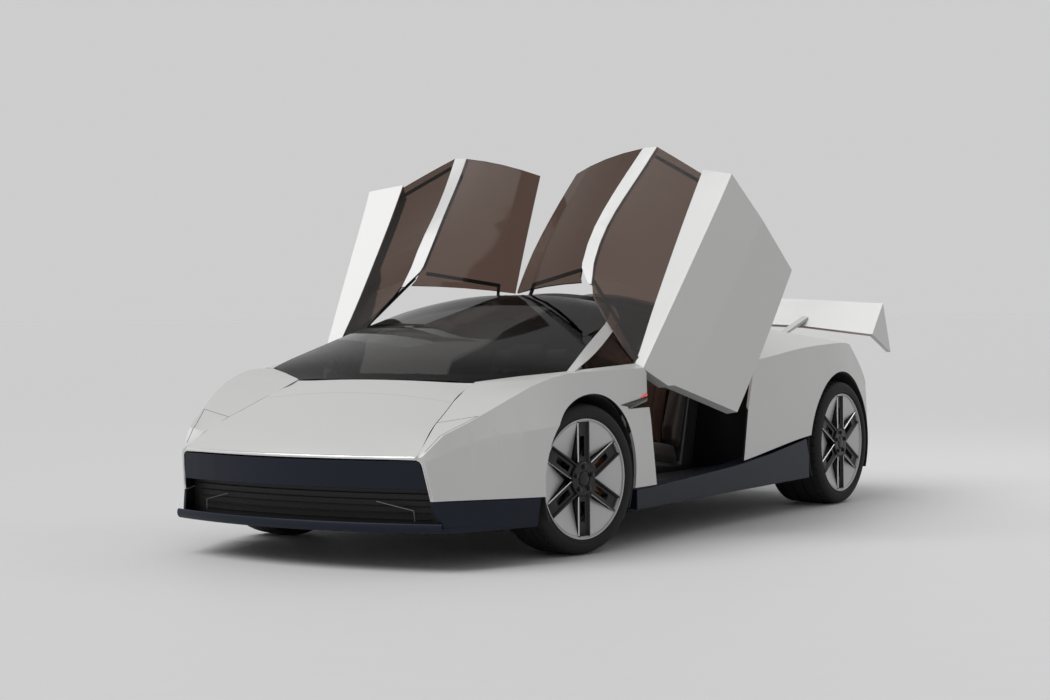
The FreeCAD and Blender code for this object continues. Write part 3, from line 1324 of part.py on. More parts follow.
save("rear_suspension", make_rear_suspension())
save("rear_wing", make_wing())
rail = make_rail()
shell = make_door_shell()
window = make_window(rail).cut(shell)
roof_pane = make_roof_pane(rail)
door_shapes = (
    ("door", Part.makeCompound([shell, rail])), ("door_window", window), ("roof_glass", roof_pane),
    ("door_frame", make_door_frame([shell, rail, window, roof_pane])),
)
for name, shape in door_shapes:
    save(name + "_left", opened(shape))
    save(name + "_right", mirrored(opened(shape)))
save("knuckle_left", turned(knuckle))
save("knuckle_right", turned(mirrored(knuckle), -1))
save("front_wheel_left", turned(front_wheel))
save("front_wheel_right", turned(mirrored(front_wheel), -1))
save("front_tyre_left", turned(front_tyre))
save("front_tyre_right", turned(mirrored(front_tyre), -1))
save("rear_wheel_left", rear_wheel)
save("rear_wheel_right", mirrored(rear_wheel))
save("rear_tyre_left", rear_tyre)
save("rear_tyre_right", mirrored(rear_tyre))
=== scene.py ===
import json
import math

import bmesh
import bpy
from mathutils import Matrix, Vector
from mathutils.bvhtree import BVHTree

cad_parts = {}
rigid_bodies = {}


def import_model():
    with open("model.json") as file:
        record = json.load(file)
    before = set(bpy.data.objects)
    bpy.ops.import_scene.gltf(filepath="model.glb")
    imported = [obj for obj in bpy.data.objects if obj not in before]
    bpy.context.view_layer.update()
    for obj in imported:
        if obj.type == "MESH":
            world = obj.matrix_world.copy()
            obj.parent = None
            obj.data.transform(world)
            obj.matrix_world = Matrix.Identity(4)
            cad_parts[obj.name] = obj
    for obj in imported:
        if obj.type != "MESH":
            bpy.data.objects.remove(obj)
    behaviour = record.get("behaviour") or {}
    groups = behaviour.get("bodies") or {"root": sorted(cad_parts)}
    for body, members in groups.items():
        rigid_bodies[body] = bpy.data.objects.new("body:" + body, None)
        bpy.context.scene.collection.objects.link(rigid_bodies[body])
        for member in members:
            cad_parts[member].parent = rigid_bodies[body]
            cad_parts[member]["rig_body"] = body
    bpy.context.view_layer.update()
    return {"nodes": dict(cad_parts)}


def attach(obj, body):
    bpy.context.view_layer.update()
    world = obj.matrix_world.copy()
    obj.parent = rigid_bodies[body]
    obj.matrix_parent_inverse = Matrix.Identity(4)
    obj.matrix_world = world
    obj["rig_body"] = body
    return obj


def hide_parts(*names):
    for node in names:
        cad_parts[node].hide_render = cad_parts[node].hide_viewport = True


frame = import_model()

nodes = frame["nodes"]


# Camera: where the photograph was taken, ahead of the left front wheel and a little over
# a metre up. Its lens gives the photograph's frame of 1050 by 700.
def added(name, data):
    """An object of its own in the scene."""
    piece = bpy.data.objects.new(name, data)
    bpy.context.scene.collection.objects.link(piece)
    return piece


camera_data = bpy.data.cameras.new("camera")
camera_data.sensor_width = 36
camera_data.lens = 69.46
camera_data.clip_end = 200
camera = added("camera", camera_data)
heading, pitch, roll = (math.radians(angle) for angle in (213.31, -1.25, -0.59))
ahead = Vector((math.cos(pitch) * math.cos(heading), math.cos(pitch) * math.sin(heading), math.sin(pitch)))
turn = ahead.to_track_quat("-Z", "Y").to_matrix().to_4x4() @ Matrix.Rotation(roll, 4, "Z")
viewpoint = (9.2332, 5.838, 1.149)
camera.matrix_world = Matrix.Translation(viewpoint) @ turn
bpy.context.scene.camera = camera


# Studio: a pale plain floor that runs out to a background of the same grey, under one broad
# key light and two wide lamps. Floor and world are stage, so nothing here is part of the car.
def named(tree, kind, **values):
    """A shader node with its sockets set."""
    node = tree.nodes.new(kind)
    for socket, value in values.items():
        node.inputs[socket.replace("_", " ")].default_value = value
    return node


def toned(tree, source, colour, low, high, top=1.0):
    """Lets the colour run from low to high times its tone, as a source runs from 0 to its top."""
    tone = named(tree, "ShaderNodeMapRange", From_Max=top, To_Min=low, To_Max=high)
    tree.links.new(source, tone.inputs["Value"])
    tint = named(tree, "ShaderNodeVectorMath")
    tint.operation = "SCALE"
    tint.inputs[0].default_value = colour
    tree.links.new(tone.outputs["Result"], tint.inputs["Scale"])
    tree.links.new(tint.outputs["Vector"], tree.nodes["Principled BSDF"].inputs["Base Color"])


def raised(tree, source, strength, depth):
    """Gives the surface the relief of a source of heights."""
    relief = named(tree, "ShaderNodeBump", Strength=strength, Distance=depth)
    tree.links.new(source, relief.inputs["Height"])
    tree.links.new(relief.outputs["Normal"], tree.nodes["Principled BSDF"].inputs["Normal"])


def finish(name, colour, rough, metal=0.0, grain=None, spread=0.0, bump=0.0, rough_spread=0.0, **sockets):
    """A surface whose tone, gloss and relief vary with one noise, grain times a metre."""
    made = bpy.data.materials.new(name)
    made.use_nodes = True
    tree = made.node_tree
    shader = tree.nodes["Principled BSDF"]
    shader.inputs["Base Color"].default_value = (*colour, 1)
    shader.inputs["Roughness"].default_value = rough
    shader.inputs["Metallic"].default_value = metal
    for socket, value in sockets.items():
        shader.inputs[socket.replace("_", " ")].default_value = value
    if grain:
        place = tree.nodes.new("ShaderNodeTexCoord")
        noise = named(tree, "ShaderNodeTexNoise", Scale=grain, Detail=3.0)
        tree.links.new(place.outputs["Object"], noise.inputs["Vector"])
        toned(tree, noise.outputs["Fac"], colour, 1 - spread, 1 + spread)
        gloss = named(tree, "ShaderNodeMapRange", To_Min=rough - rough_spread, To_Max=rough + rough_spread)
        tree.links.new(noise.outputs["Fac"], gloss.inputs["Value"])
        tree.links.new(gloss.outputs["Result"], shader.inputs["Roughness"])
        if bump:
            raised(tree, noise.outputs["Fac"], bump, 0.4 / grain)
    return made


def meshed(name, points, faces):
    """A mesh of places and the faces between them."""
    mesh = bpy.data.meshes.new(name)
    mesh.from_pydata(points, [], faces)
    return mesh


pale = (0.68, 0.68, 0.68)
reach = 150
corners = [(-reach, -reach, 0), (reach, -reach, 0), (reach, reach, 0), (-reach, reach, 0)]
floor = added("floor", meshed("floor", corners, [(0, 1, 2, 3)]))
floor.data.materials.append(finish("studio_floor", pale, 0.6, grain=6.0, spread=0.012, Specular_IOR_Level=0.2))

world = bpy.data.worlds.new("studio")
bpy.context.scene.world = world
world.use_nodes = True
sky = world.node_tree
light = sky.nodes["Background"]
light.inputs["Color"].default_value = (1, 1, 1, 1)
light.inputs["Strength"].default_value = 0.44
backdrop = named(sky, "ShaderNodeBackground", Color=(*pale, 1), Strength=0.9)
rays = sky.nodes.new("ShaderNodeLightPath")
last = rays.outputs["Is Camera Ray"]
for other in ("Is Glossy Ray", "Is Transmission Ray"):
    either = sky.nodes.new("ShaderNodeMath")
    either.operation = "MAXIMUM"
    sky.links.new(last, either.inputs[0])
    sky.links.new(rays.outputs[other], either.inputs[1])
    last = either.outputs[0]
blend = sky.nodes.new("ShaderNodeMixShader")
sky.links.new(last, blend.inputs["Fac"])
sky.links.new(light.outputs["Background"], blend.inputs[1])
sky.links.new(backdrop.outputs["Background"], blend.inputs[2])
sky.links.new(blend.outputs["Shader"], sky.nodes["World Output"].inputs["Surface"])


def lamp_from(name, kind, place, aim, strength, width=0.0, depth=0.0):
    """A sun, with its width in degrees, or a wide lamp that shines from a place towards a point."""
    data = bpy.data.lights.new(name, kind)
    data.energy = strength
    if kind == "SUN":
        data.angle = math.radians(width)
    else:
        data.shape, data.size, data.size_y = "RECTANGLE", width, depth
    lamp = added(name, data)
    aimed = (Vector(aim) - Vector(place)).to_track_quat("-Z", "Y").to_matrix().to_4x4()
    lamp.matrix_world = Matrix.Translation(place) @ aimed


lamp_from("key", "SUN", (3.8, -3.0, 7.0), (0, 0, 0), 1.68, 48)
lamp_from("over_nose", "AREA", (5.5, -1.5, 4.5), (0.8, 0, 0.5), 10, 4, 1.6)
lamp_from("over_tail", "AREA", (-5.0, 2.0, 5.0), (-0.5, 0, 0.5), 45, 4, 2)
bpy.context.scene.view_settings.view_transform = "Standard"


# Shell of the cabin: one dark composite tub with a roof frame of the same weave, the cast
# aluminium front frame bolted to it, and flat moulded trays under the floor.
def coated(look, *names):
    """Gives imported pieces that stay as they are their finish."""
    for name in names:
        nodes[name].data.materials.clear()
        nodes[name].data.materials.append(look)


def woven(name, colour, rough, pitch, relief, **sockets):
    """A cloth of crossed threads, pitch metres from one thread to the next."""
    made = finish(name, colour, rough, **sockets)
    tree = made.node_tree
    place = tree.nodes.new("ShaderNodeTexCoord")
    across = []
    for way in ("X", "Y", "Z"):
        wave = named(tree, "ShaderNodeTexWave", Scale=0.314 / pitch, Distortion=0.6, Detail=1.0)
        wave.bands_direction = way
        tree.links.new(place.outputs["Object"], wave.inputs["Vector"])
        across.append(wave.outputs["Fac"])
    last = across[0]
    for other in across[1:]:
        blend = tree.nodes.new("ShaderNodeMath")
        blend.operation = "MULTIPLY_ADD"
        blend.inputs[1].default_value = 0.6
        tree.links.new(other, blend.inputs[0])
        tree.links.new(last, blend.inputs[2])
        last = blend.outputs[0]
    toned(tree, last, colour, 0.6, 1.35, 2.2)
    raised(tree, last, relief, pitch * 0.3)
    return made


carbon = woven("carbon_weave", (0.016, 0.016, 0.018), 0.34, 0.004, 0.25, Coat_Weight=0.4, Coat_Roughness=0.12)
tray_black = finish("moulded_tray", (0.014, 0.014, 0.015), 0.66, grain=340.0, spread=0.14, bump=0.25,
                    rough_spread=0.08)
cast = finish("cast_aluminium", (0.34, 0.34, 0.345), 0.5, 0.9, grain=420.0, spread=0.1, bump=0.3, rough_spread=0.1)
coated(carbon, "tub", "roof_frame")
coated(cast, "front_frame")
coated(tray_black, "undertray", "diffuser", "wheel_houses", "luggage_tub", "intake_grille", "door_frame_left",
       "door_frame_right")


# Running gear: forged links and uprights in bare metal, and a cast power unit with a dark
# crackle cover. They are bolted between the frame and the wheels.
forged = finish("forged_steel", (0.22, 0.22, 0.225), 0.42, 1.0, grain=260.0, spread=0.12, bump=0.12, rough_spread=0.1)
unit = finish("crackle_coat", (0.05, 0.05, 0.053), 0.58, 0.5, grain=520.0, spread=0.2, bump=0.45, rough_spread=0.1)
coated(forged, "front_suspension", "rear_suspension", "knuckle_left", "knuckle_right")
coated(unit, "power_unit")


# Tyres: low black rubber in one moulding, with ringed sidewalls, four grooves round the
# tread and cross cuts in both shoulders. They are pressed over the rims.
sides = {"left": 1, "right": -1}
axle_at = {"front": 1.2972, "rear": -1.4328}
wheel_face = {"front": 0.971, "rear": 0.999}
tyre_width = {"front": 0.255, "rear": 0.325}
tyre_radius, kingpin_across, steered = 0.35, 0.8435, math.radians(-10.3)
cut_pitch, cut_depth = 7, 0.005


def banded(rows, count, joined=False):
    """Faces between rings of places, the first and last ring joined or else both closed."""
    faces = []
    for row in range(rows if joined else rows - 1):
        after = (row + 1) % rows
        for index in range(count):
            other = (index + 1) % count
            faces.append((row * count + index, row * count + other, after * count + other, after * count + index))
    if not joined:
        last = (rows - 1) * count
        faces += [tuple(range(count)), tuple(last + count - 1 - index for index in range(count))]
    return faces


def turned_surface(name, profile, steps, cut=None):
    """A closed profile of places along the axle and radii, turned about the axle."""
    points = []
    for step in range(steps):
        angle = 2 * math.pi * step / steps
        for index, (along, radius) in enumerate(profile):
            if cut and index in cut and step % cut_pitch == 0:
                radius -= cut_depth
            points.append((radius * math.sin(angle), along, radius * math.cos(angle)))
    return tidied(meshed(name, points, banded(steps, len(profile), joined=True)))


def tidied(mesh, crease=30):
    """A mesh with its doubles merged, its faces turned outwards and its curves shaded smooth."""
    work = bmesh.new()
    work.from_mesh(mesh)
    bmesh.ops.remove_doubles(work, verts=work.verts, dist=0.00001)
    bmesh.ops.recalc_face_normals(work, faces=work.faces)
    for face in work.faces:
        face.smooth = True
    work.to_mesh(mesh)
    work.free()
    mesh.set_sharp_from_angle(angle=math.radians(crease))
    return mesh


def fitted(name, mesh, body, look, place=None):
    """A piece of its own, set in its place, that rides on a body."""
    if place is not None:
        mesh.transform(place)
    piece = added(name, mesh)
    if look:
        mesh.materials.append(look)
    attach(piece, body)
    return piece


def wheel_place(end, side):
    """Where a wheel's outer face centre is, turned to its rest angle at the front."""
    way = sides[side]
    place = Matrix.Translation((axle_at[end], way * wheel_face[end], tyre_radius))
    if way < 0:
        place = place @ Matrix.Rotation(math.pi, 4, "Z")
    if end == "front":
        kingpin = Matrix.Translation((axle_at[end], way * kingpin_across, 0))
        place = kingpin @ Matrix.Rotation(steered, 4, "Z") @ kingpin.inverted() @ place
    return place


rubber = finish("tyre_rubber", (0.017, 0.017, 0.018), 0.72, grain=260.0, spread=0.12, bump=0.08, rough_spread=0.06,
                Specular_IOR_Level=0.25)
for end, width in tyre_width.items():
    wall = [(0.016, 0.2786), (0.007, 0.2806), (0.0015, 0.2855), (0.0, 0.2885), (0.0022, 0.2912), (0.0008, 0.2985),
            (0.0, 0.3055), (0.0008, 0.3125), (0.0016, 0.3131), (0.0022, 0.3185), (0.0050, 0.3265), (0.0085, 0.3322),
            (0.0125, 0.3372), (0.0180, 0.3416), (0.0245, 0.3442)]
    block, shoulder = width * 0.2, width * 0.38
    tread = [(0.0300, 0.3455), (block - 0.004, 0.3478), (block - 0.0035, 0.3410), (block + 0.0035, 0.3410),
             (block + 0.004, 0.3480), (shoulder, 0.3494), (shoulder + 0.001, 0.3425),
             (shoulder + 0.0075, 0.3425), (shoulder + 0.0085, 0.3496), (width * 0.47, 0.3500)]
    half = wall + tread
    profile = [(-along, radius) for along, radius in half]
    profile += [(along - width, radius) for along, radius in reversed(half)]
    cuts = set(range(len(wall) - 1, len(wall) + 2))
    cuts |= {len(profile) - 1 - index for index in cuts}
    for side in sides:
        mesh = turned_surface(end + "_tread_" + side, profile, 336, cuts)
        tyre = fitted(end + "_tread_" + side, mesh, end + "_wheel_" + side, rubber, wheel_place(end, side))
        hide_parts(end + "_tyre_" + side)


# Wheels: forged rims with six black arms in front of dished satin covers. A bright machined
# line runs along both edges of every arm, and five bolts hold the hub.
arm_count, bolt_count, bolt_circle = 6, 5, 0.056
cover_rim, cover_foot = 0.2645, 0.080


def repeated(name, mesh, count, look, step=(0, 0, 0), turn=None):
    """A mesh repeated by Geometry Nodes, each one moved and turned on from the last."""
    tree = bpy.data.node_groups.new(name, "GeometryNodeTree")
    face = tree.interface
    sockets = {"Geometry": "NodeSocketGeometry", "Count": "NodeSocketInt", "Step": "NodeSocketVector",
               "Turn": "NodeSocketVector", "Finish": "NodeSocketMaterial"}
    marks = {label: face.new_socket(label, in_out="INPUT", socket_type=kind).identifier
             for label, kind in sockets.items()}
    face.new_socket("Geometry", in_out="OUTPUT", socket_type="NodeSocketGeometry")
    start, end = tree.nodes.new("NodeGroupInput"), tree.nodes.new("NodeGroupOutput")
    points = tree.nodes.new("GeometryNodePoints")
    placed = tree.nodes.new("GeometryNodeInstanceOnPoints")
    index = tree.nodes.new("GeometryNodeInputIndex")
    real = tree.nodes.new("GeometryNodeRealizeInstances")
    coat = tree.nodes.new("GeometryNodeSetMaterial")
    join = tree.links.new
    for label, target in (("Step", points.inputs["Position"]), ("Turn", placed.inputs["Rotation"])):
        scaled = tree.nodes.new("ShaderNodeVectorMath")
        scaled.operation = "SCALE"
        join(start.outputs[label], scaled.inputs[0])
        join(index.outputs[0], scaled.inputs["Scale"])
        join(scaled.outputs[0], target)
    join(start.outputs["Count"], points.inputs["Count"])
    join(points.outputs[0], placed.inputs["Points"])
    join(start.outputs["Geometry"], placed.inputs["Instance"])
    join(placed.outputs[0], real.inputs[0])
    join(real.outputs[0], coat.inputs["Geometry"])
    join(start.outputs["Finish"], coat.inputs["Material"])
    join(coat.outputs[0], end.inputs[0])
    carrier = added(name, mesh)
    repeat = carrier.modifiers.new("repeat", "NODES")
    repeat.node_group = tree
    repeat[marks["Count"]] = count
    repeat[marks["Step"]] = step
    repeat[marks["Turn"]] = turn or (0.0, 2 * math.pi / count, 0.0)
    repeat[marks["Finish"]] = look
    made = bpy.data.meshes.new_from_object(carrier.evaluated_get(bpy.context.evaluated_depsgraph_get()))
    bpy.data.objects.remove(carrier)
    return made


def dish(radius):
    """How far behind the wheel's face the cover lies at a radius."""
    return 0.018 + 0.042 * (cover_rim - radius) / (cover_rim - cover_foot)


def netted(rows, columns, open_at=()):
    """Faces of a net of places, without those that are left open."""
    return [(row * columns + column, row * columns + column + 1, (row + 1) * columns + column + 1,
             (row + 1) * columns + column)
            for row in range(rows - 1) for column in range(columns - 1) if (row, column) not in open_at]


def arm_mesh():
    """One arm: a channel with raised sides, a long window and walls that reach the cover."""
    rows = [0.050, cover_foot, 0.104, 0.114, 0.188, 0.198, 0.225, cover_rim]
    points = []
    for radius in rows:
        deep = dish(max(radius, cover_foot)) + 0.004
        across = [(-0.0385, deep), (-0.0390, 0.0180), (-0.0365, 0.0145), (-0.0310, 0.0140), (-0.0265, 0.0250),
                  (-0.0150, 0.0260), (0.0150, 0.0260), (0.0265, 0.0250), (0.0310, 0.0140), (0.0365, 0.0145),
                  (0.0390, 0.0180), (0.0385, deep)]
        points += [(u, -t, radius) for u, t in across]
    window = [(row, 5) for row in (2, 3, 4)]
    return meshed("arm", points, netted(len(rows), len(across), window))


def shaped(mesh, kind, **settings):
    """A mesh with one modifier applied to it."""
    carrier = added("carrier", mesh)
    change = carrier.modifiers.new("change", kind)
    for setting, value in settings.items():
        setattr(change, setting, value)
    made = bpy.data.meshes.new_from_object(carrier.evaluated_get(bpy.context.evaluated_depsgraph_get()))
    bpy.data.objects.remove(carrier)
    return made


def rounded(mesh, width, angle=40, segments=2):
    """A mesh with its sharp edges rounded."""
    return tidied(shaped(mesh, "BEVEL", width=width, segments=segments, limit_method="ANGLE",
                         angle_limit=math.radians(angle)))


def facing_out(mesh):
    """An open sheet of the wheel with all its faces turned to the outside."""
    work = bmesh.new()
    work.from_mesh(mesh)
    bmesh.ops.recalc_face_normals(work, faces=work.faces)
    lean = sum(face.normal.y * face.calc_area() for face in work.faces)
    if lean < 0:
        bmesh.ops.reverse_faces(work, faces=work.faces)
    work.to_mesh(mesh)
    work.free()
    return mesh


def cover_mesh():
    """One cover between two arms, from the rim down to a point at the hub."""
    rows, columns, tip = 14, 16, 0.0885
    points = []
    for row in range(rows + 1):
        radius = tip + (cover_rim - tip) * row / rows
        spread = math.pi / 6 - math.asin(0.0415 / radius)
        for column in range(columns + 1):
            angle = math.pi / 6 + spread * (2 * column / columns - 1)
            depth = dish(radius) - 0.0022 * math.sin(math.pi * column / columns)
            points.append((radius * math.sin(angle), -depth, radius * math.cos(angle)))
    return meshed("cover", points, netted(rows + 1, columns + 1))


def edge_mesh():
    """The two bright lines of one arm, as slim bars with a chamfered top."""
    points, faces = [], []
    for way in (-1, 1):
        section = [(0.0378, 0.0132), (0.0402, 0.0160), (0.0402, 0.0195), (0.0368, 0.0160)]
        base = len(points)
        for radius in (0.0805, 0.2600):
            points += [(way * u, -t, radius) for u, t in section]
        for index in range(4):
            other = (index + 1) % 4
            faces.append((base + index, base + other, base + 4 + other, base + 4 + index))
        faces += [(base, base + 1, base + 2, base + 3), (base + 4, base + 5, base + 6, base + 7)]
    return tidied(meshed("edge", points, faces))


def bolt_mesh():
    """One wheel bolt: a round collar and a six-sided head."""
    work = bmesh.new()
    for sides, radius, low, high in ((24, 0.0115, 0.008, 0.0155), (6, 0.0095, 0.003, 0.010)):
        spot = Matrix.Translation((0, -(low + high) / 2, bolt_circle)) @ Matrix.Rotation(math.pi / 2, 4, "X")
        bmesh.ops.create_cone(work, cap_ends=True, segments=sides, radius1=radius, radius2=radius, depth=high - low,
                              matrix=spot)
    bmesh.ops.bevel(work, geom=work.edges[:], offset=0.0008, segments=1, affect="EDGES")
    mesh = bpy.data.meshes.new("bolt")
    work.to_mesh(mesh)
    work.free()
    return tidied(mesh)


arm_black = finish("wheel_gloss_black", (0.006, 0.006, 0.0065), 0.3, grain=300.0, spread=0.1, bump=0.01,
                   rough_spread=0.03, Specular_IOR_Level=0.35)
cover_satin = finish("wheel_cover_satin", (0.50, 0.50, 0.51), 0.42, 0.5, grain=420.0, spread=0.04, bump=0.02,
                     rough_spread=0.04)
bright = finish("machined_bright", (0.72, 0.72, 0.72), 0.22, 1.0, grain=900.0, spread=0.03, bump=0.02,
                rough_spread=0.04)
bolt_dark = finish("dark_bolt", (0.06, 0.06, 0.062), 0.35, 0.9, grain=700.0, spread=0.06, bump=0.05,
                   rough_spread=0.05)
disc_iron = finish("brake_disc", (0.20, 0.20, 0.205), 0.42, 1.0, grain=160.0, spread=0.08, bump=0.03,
                   rough_spread=0.08)
for end, width in tyre_width.items():
    for side in sides:
        body, place = end + "_wheel_" + side, wheel_place(end, side)
        barrel = [(-0.0090, 0.2779), (-0.0085, 0.2745), (-0.0105, 0.2715), (-0.0180, 0.2690), (-0.0185, 0.2655),
                  (-0.0300, 0.2630), (-0.0600, 0.2570), (0.045 - width, 0.2570), (0.014 - width, 0.2700),
                  (0.0115 - width, 0.2775), (0.018 - width, 0.2782), (0.050 - width, 0.2630), (-0.055, 0.2630),
                  (-0.022, 0.2740)]
        rim = turned_surface("rim", barrel, 128)
        rim = fitted(end + "_rim_" + side, rim, body, cover_satin, place)
        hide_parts(end + "_wheel_" + side)
        arms = rounded(shaped(facing_out(arm_mesh()), "SOLIDIFY", thickness=0.0035, offset=-1), 0.0006)
        arms = tidied(repeated("arms", arms, arm_count, arm_black), 25)
        fitted(end + "_arms_" + side, arms, body, None, place)
        cover = rounded(shaped(facing_out(cover_mesh()), "SOLIDIFY", thickness=0.003, offset=-1), 0.001)
        covers = tidied(repeated("covers", cover, arm_count, cover_satin))
        fitted(end + "_covers_" + side, covers, body, None, place)
        lines = tidied(repeated("arm_lines", edge_mesh(), arm_count, bright))
        fitted(end + "_arm_lines_" + side, lines, body, None, place)
        hub = [(-0.0095, 0.0), (-0.0100, 0.0180), (-0.0115, 0.0290), (-0.0140, 0.0335), (-0.0175, 0.0345),
               (-0.0175, 0.0375), (-0.0140, 0.0390), (-0.0140, 0.0745), (-0.0175, 0.0795), (-0.0250, 0.0815),
               (-0.0640, 0.0780), (-0.0640, 0.0)]
        fitted(end + "_hub_" + side, turned_surface("hub", hub, 96), body, arm_black, place)
        bolts = tidied(repeated("bolts", bolt_mesh(), bolt_count, bolt_dark))
        fitted(end + "_bolts_" + side, bolts, body, None, place)
        near, far = 0.890 - wheel_face[end], 0.870 - wheel_face[end]
        disc = [(near, 0.0780), (near, 0.1020), (near - 0.003, 0.1030), (near - 0.003, 0.1080), (near, 0.1090),
                (near, 0.1880), (near - 0.002, 0.1900), (near - 0.007, 0.1900), (near - 0.007, 0.1700),
                (far + 0.007, 0.1700), (far + 0.007, 0.1900), (far + 0.002, 0.1900), (far, 0.1880), (far, 0.0260),
                (near + 0.012, 0.0260), (near + 0.012, 0.0740), (near + 0.010, 0.0780)]
        fitted(end + "_brake_disc_" + side, turned_surface("disc", disc, 120), body, disc_iron, place)


# Brakes: bronze painted calipers over ringed discs, bolted behind each axle, to the upright
# at the front and to the rear links at the back.
bronze_paint = finish("bronze_paint", (0.30, 0.13, 0.055), 0.34, 0.6, grain=600.0, spread=0.06, bump=0.03,
                      rough_spread=0.04, Coat_Weight=0.3, Coat_Roughness=0.1)
body_part = [(0.848, 0.112), (0.8655, 0.112), (0.8655, 0.193), (0.8925, 0.193), (0.8925, 0.112), (0.9115, 0.112),
             (0.9125, 0.118), (0.9125, 0.200), (0.906, 0.2135), (0.896, 0.218), (0.864, 0.218), (0.853, 0.2135),
             (0.847, 0.200), (0.847, 0.118)]
steps = 22
for end, face in wheel_face.items():
    for side, way in sides.items():
        points = []
        for step in range(steps + 1):
            angle = math.radians(-27 + 54 * step / steps)
            for along, radius in body_part:
                taper = 1 - 0.05 * abs(step / steps * 2 - 1) ** 4
                swung = radius * taper if radius > 0.15 else radius
                swing = angle - math.pi / 2 * way
                points.append((swung * math.sin(swing), along - face, swung * math.cos(swing)))
        caliper = meshed("caliper", points, banded(steps + 1, len(body_part)))
        body = "knuckle_" + side if end == "front" else "chassis"
        fitted(end + "_caliper_" + side, rounded(tidied(caliper), 0.003), body, bronze_paint,
               wheel_place(end, side))


# Seats: a moulded bucket shell with separate leather pads for squab, back, bolsters and
# headrest. The pads are blown up as cloth, sewn across in channels, and glued to the shell.
def hide(name, colour, rough):
    """Leather with a fine pebble grain and slow changes of tone."""
    made = finish(name, colour, rough, grain=9.0, spread=0.14, rough_spread=0.05, Sheen_Weight=0.12)
    tree = made.node_tree
    place = tree.nodes.new("ShaderNodeTexCoord")
    pebble = named(tree, "ShaderNodeTexVoronoi", Scale=420.0)
    tree.links.new(place.outputs["Object"], pebble.inputs["Vector"])
    raised(tree, pebble.outputs["Distance"], 0.22, 0.0008)
    return made


def side_on(outline, near, far):
    """A solid with an outline of places along and up, between two distances across."""
    count = len(outline)
    points = [(x, y, z) for y in (near, far) for x, z in outline]
    faces = [tuple(range(count)), tuple(2 * count - 1 - index for index in range(count))]
    faces += [(index, (index + 1) % count, (index + 1) % count + count, index + count) for index in range(count)]
    return tidied(meshed("solid", points, faces))


def blown(forms, caps):
    """Pad forms filled like cushions in one cloth simulation, no point moving past its cap."""
    work, ends = bmesh.new(), []
    for form in forms:
        work.from_mesh(shaped(form, "REMESH", mode="VOXEL", voxel_size=0.008))
        ends.append(len(work.verts))
    mesh = bpy.data.meshes.new("cushions")
    work.to_mesh(mesh)
    starts = [vertex.co.copy() for vertex in mesh.vertices]
    carrier = added("cushions", mesh)
    cloth = carrier.modifiers.new("cloth", "CLOTH")
    cloth.settings.quality = 3
    cloth.settings.use_pressure = True
    cloth.settings.uniform_pressure_force = 4
    cloth.settings.effector_weights.gravity = 0
    for frame_number in range(1, 21):
        bpy.context.scene.frame_set(frame_number)
    filled = carrier.evaluated_get(bpy.context.evaluated_depsgraph_get()).to_mesh()
    places = [vertex.co.copy() for vertex in filled.vertices]
    bpy.data.objects.remove(carrier)
    bpy.context.scene.frame_set(1)
    work.verts.ensure_lookup_table()
    for first, last, cap in zip([0] + ends[:-1], ends, caps):
        for index in range(first, last):
            moved = places[index] - starts[index]
            work.verts[index].co = starts[index] + moved * min(1.0, cap / max(moved.length, 1e-9))
    made = []
    for first, last in zip([0] + ends[:-1], ends):
        part = work.copy()
        part.verts.ensure_lookup_table()
        gone = [vertex for vertex in part.verts if not first <= vertex.index < last]
        bmesh.ops.delete(part, geom=gone, context="VERTS")
        one = bpy.data.meshes.new("pad")
        part.to_mesh(one)
        part.free()
        made.append(tidied(shaped(one, "SUBSURF", levels=1, render_levels=1), 80))
    work.free()
    return made


def sewn(mesh, lines, depth=0.006, width=0.006):
    """Channels pressed across a pad, each line given as a distance across and the pad's outside."""
    normals = [vertex.normal.copy() for vertex in mesh.vertices]
    for vertex, normal in zip(mesh.vertices, normals):
        place = vertex.co.copy()
        for across in lines:
            place -= normal * depth * math.exp(-((place.y - across) / width) ** 2)
        vertex.co = place
    return mesh


leather = hide("bronze_leather", (0.085, 0.042, 0.024), 0.46)
leather_dark = hide("dark_leather", (0.028, 0.020, 0.016), 0.48)
shell = [(0.292, 0.235), (0.300, 0.350), (0.270, 0.372), (-0.158, 0.305), (-0.205, 0.480), (-0.303, 0.860),
         (-0.335, 0.905), (-0.392, 0.902), (-0.426, 0.860), (-0.300, 0.322), (-0.282, 0.235)]
squab = [(0.300, 0.352), (0.303, 0.392), (0.262, 0.412), (0.100, 0.388), (-0.100, 0.356), (-0.128, 0.330),
         (-0.120, 0.318), (0.262, 0.378)]
back = [(-0.128, 0.395), (-0.150, 0.392), (-0.178, 0.420), (-0.288, 0.800), (-0.262, 0.812), (-0.232, 0.795),
        (-0.175, 0.600), (-0.140, 0.440)]
squab_side = [(0.292, 0.330), (0.305, 0.395), (0.262, 0.436), (0.050, 0.432), (-0.105, 0.405), (-0.135, 0.345),
              (-0.120, 0.315), (0.262, 0.365)]
back_side = [(-0.100, 0.430), (-0.160, 0.385), (-0.190, 0.430), (-0.292, 0.790), (-0.270, 0.815), (-0.232, 0.790),
             (-0.150, 0.620), (-0.098, 0.500)]
rest = [(-0.290, 0.815), (-0.322, 0.893), (-0.342, 0.925), (-0.302, 0.930), (-0.268, 0.890), (-0.252, 0.830)]
pads = {"squab": (squab, 0.252, 0.558, 0.010, (0.330, 0.405, 0.480)),
        "back": (back, 0.262, 0.548, 0.012, (0.335, 0.405, 0.475)),
        "squab_inner": (squab_side, 0.172, 0.240, 0.010, ()), "squab_outer": (squab_side, 0.570, 0.638, 0.010, ()),
        "back_inner": (back_side, 0.176, 0.250, 0.010, ()), "back_outer": (back_side, 0.560, 0.634, 0.010, ()),
        "headrest": (rest, 0.300, 0.510, 0.010, ())}
seat_gap = 0.810
own = [name for name in pads if not name.endswith("_outer")]
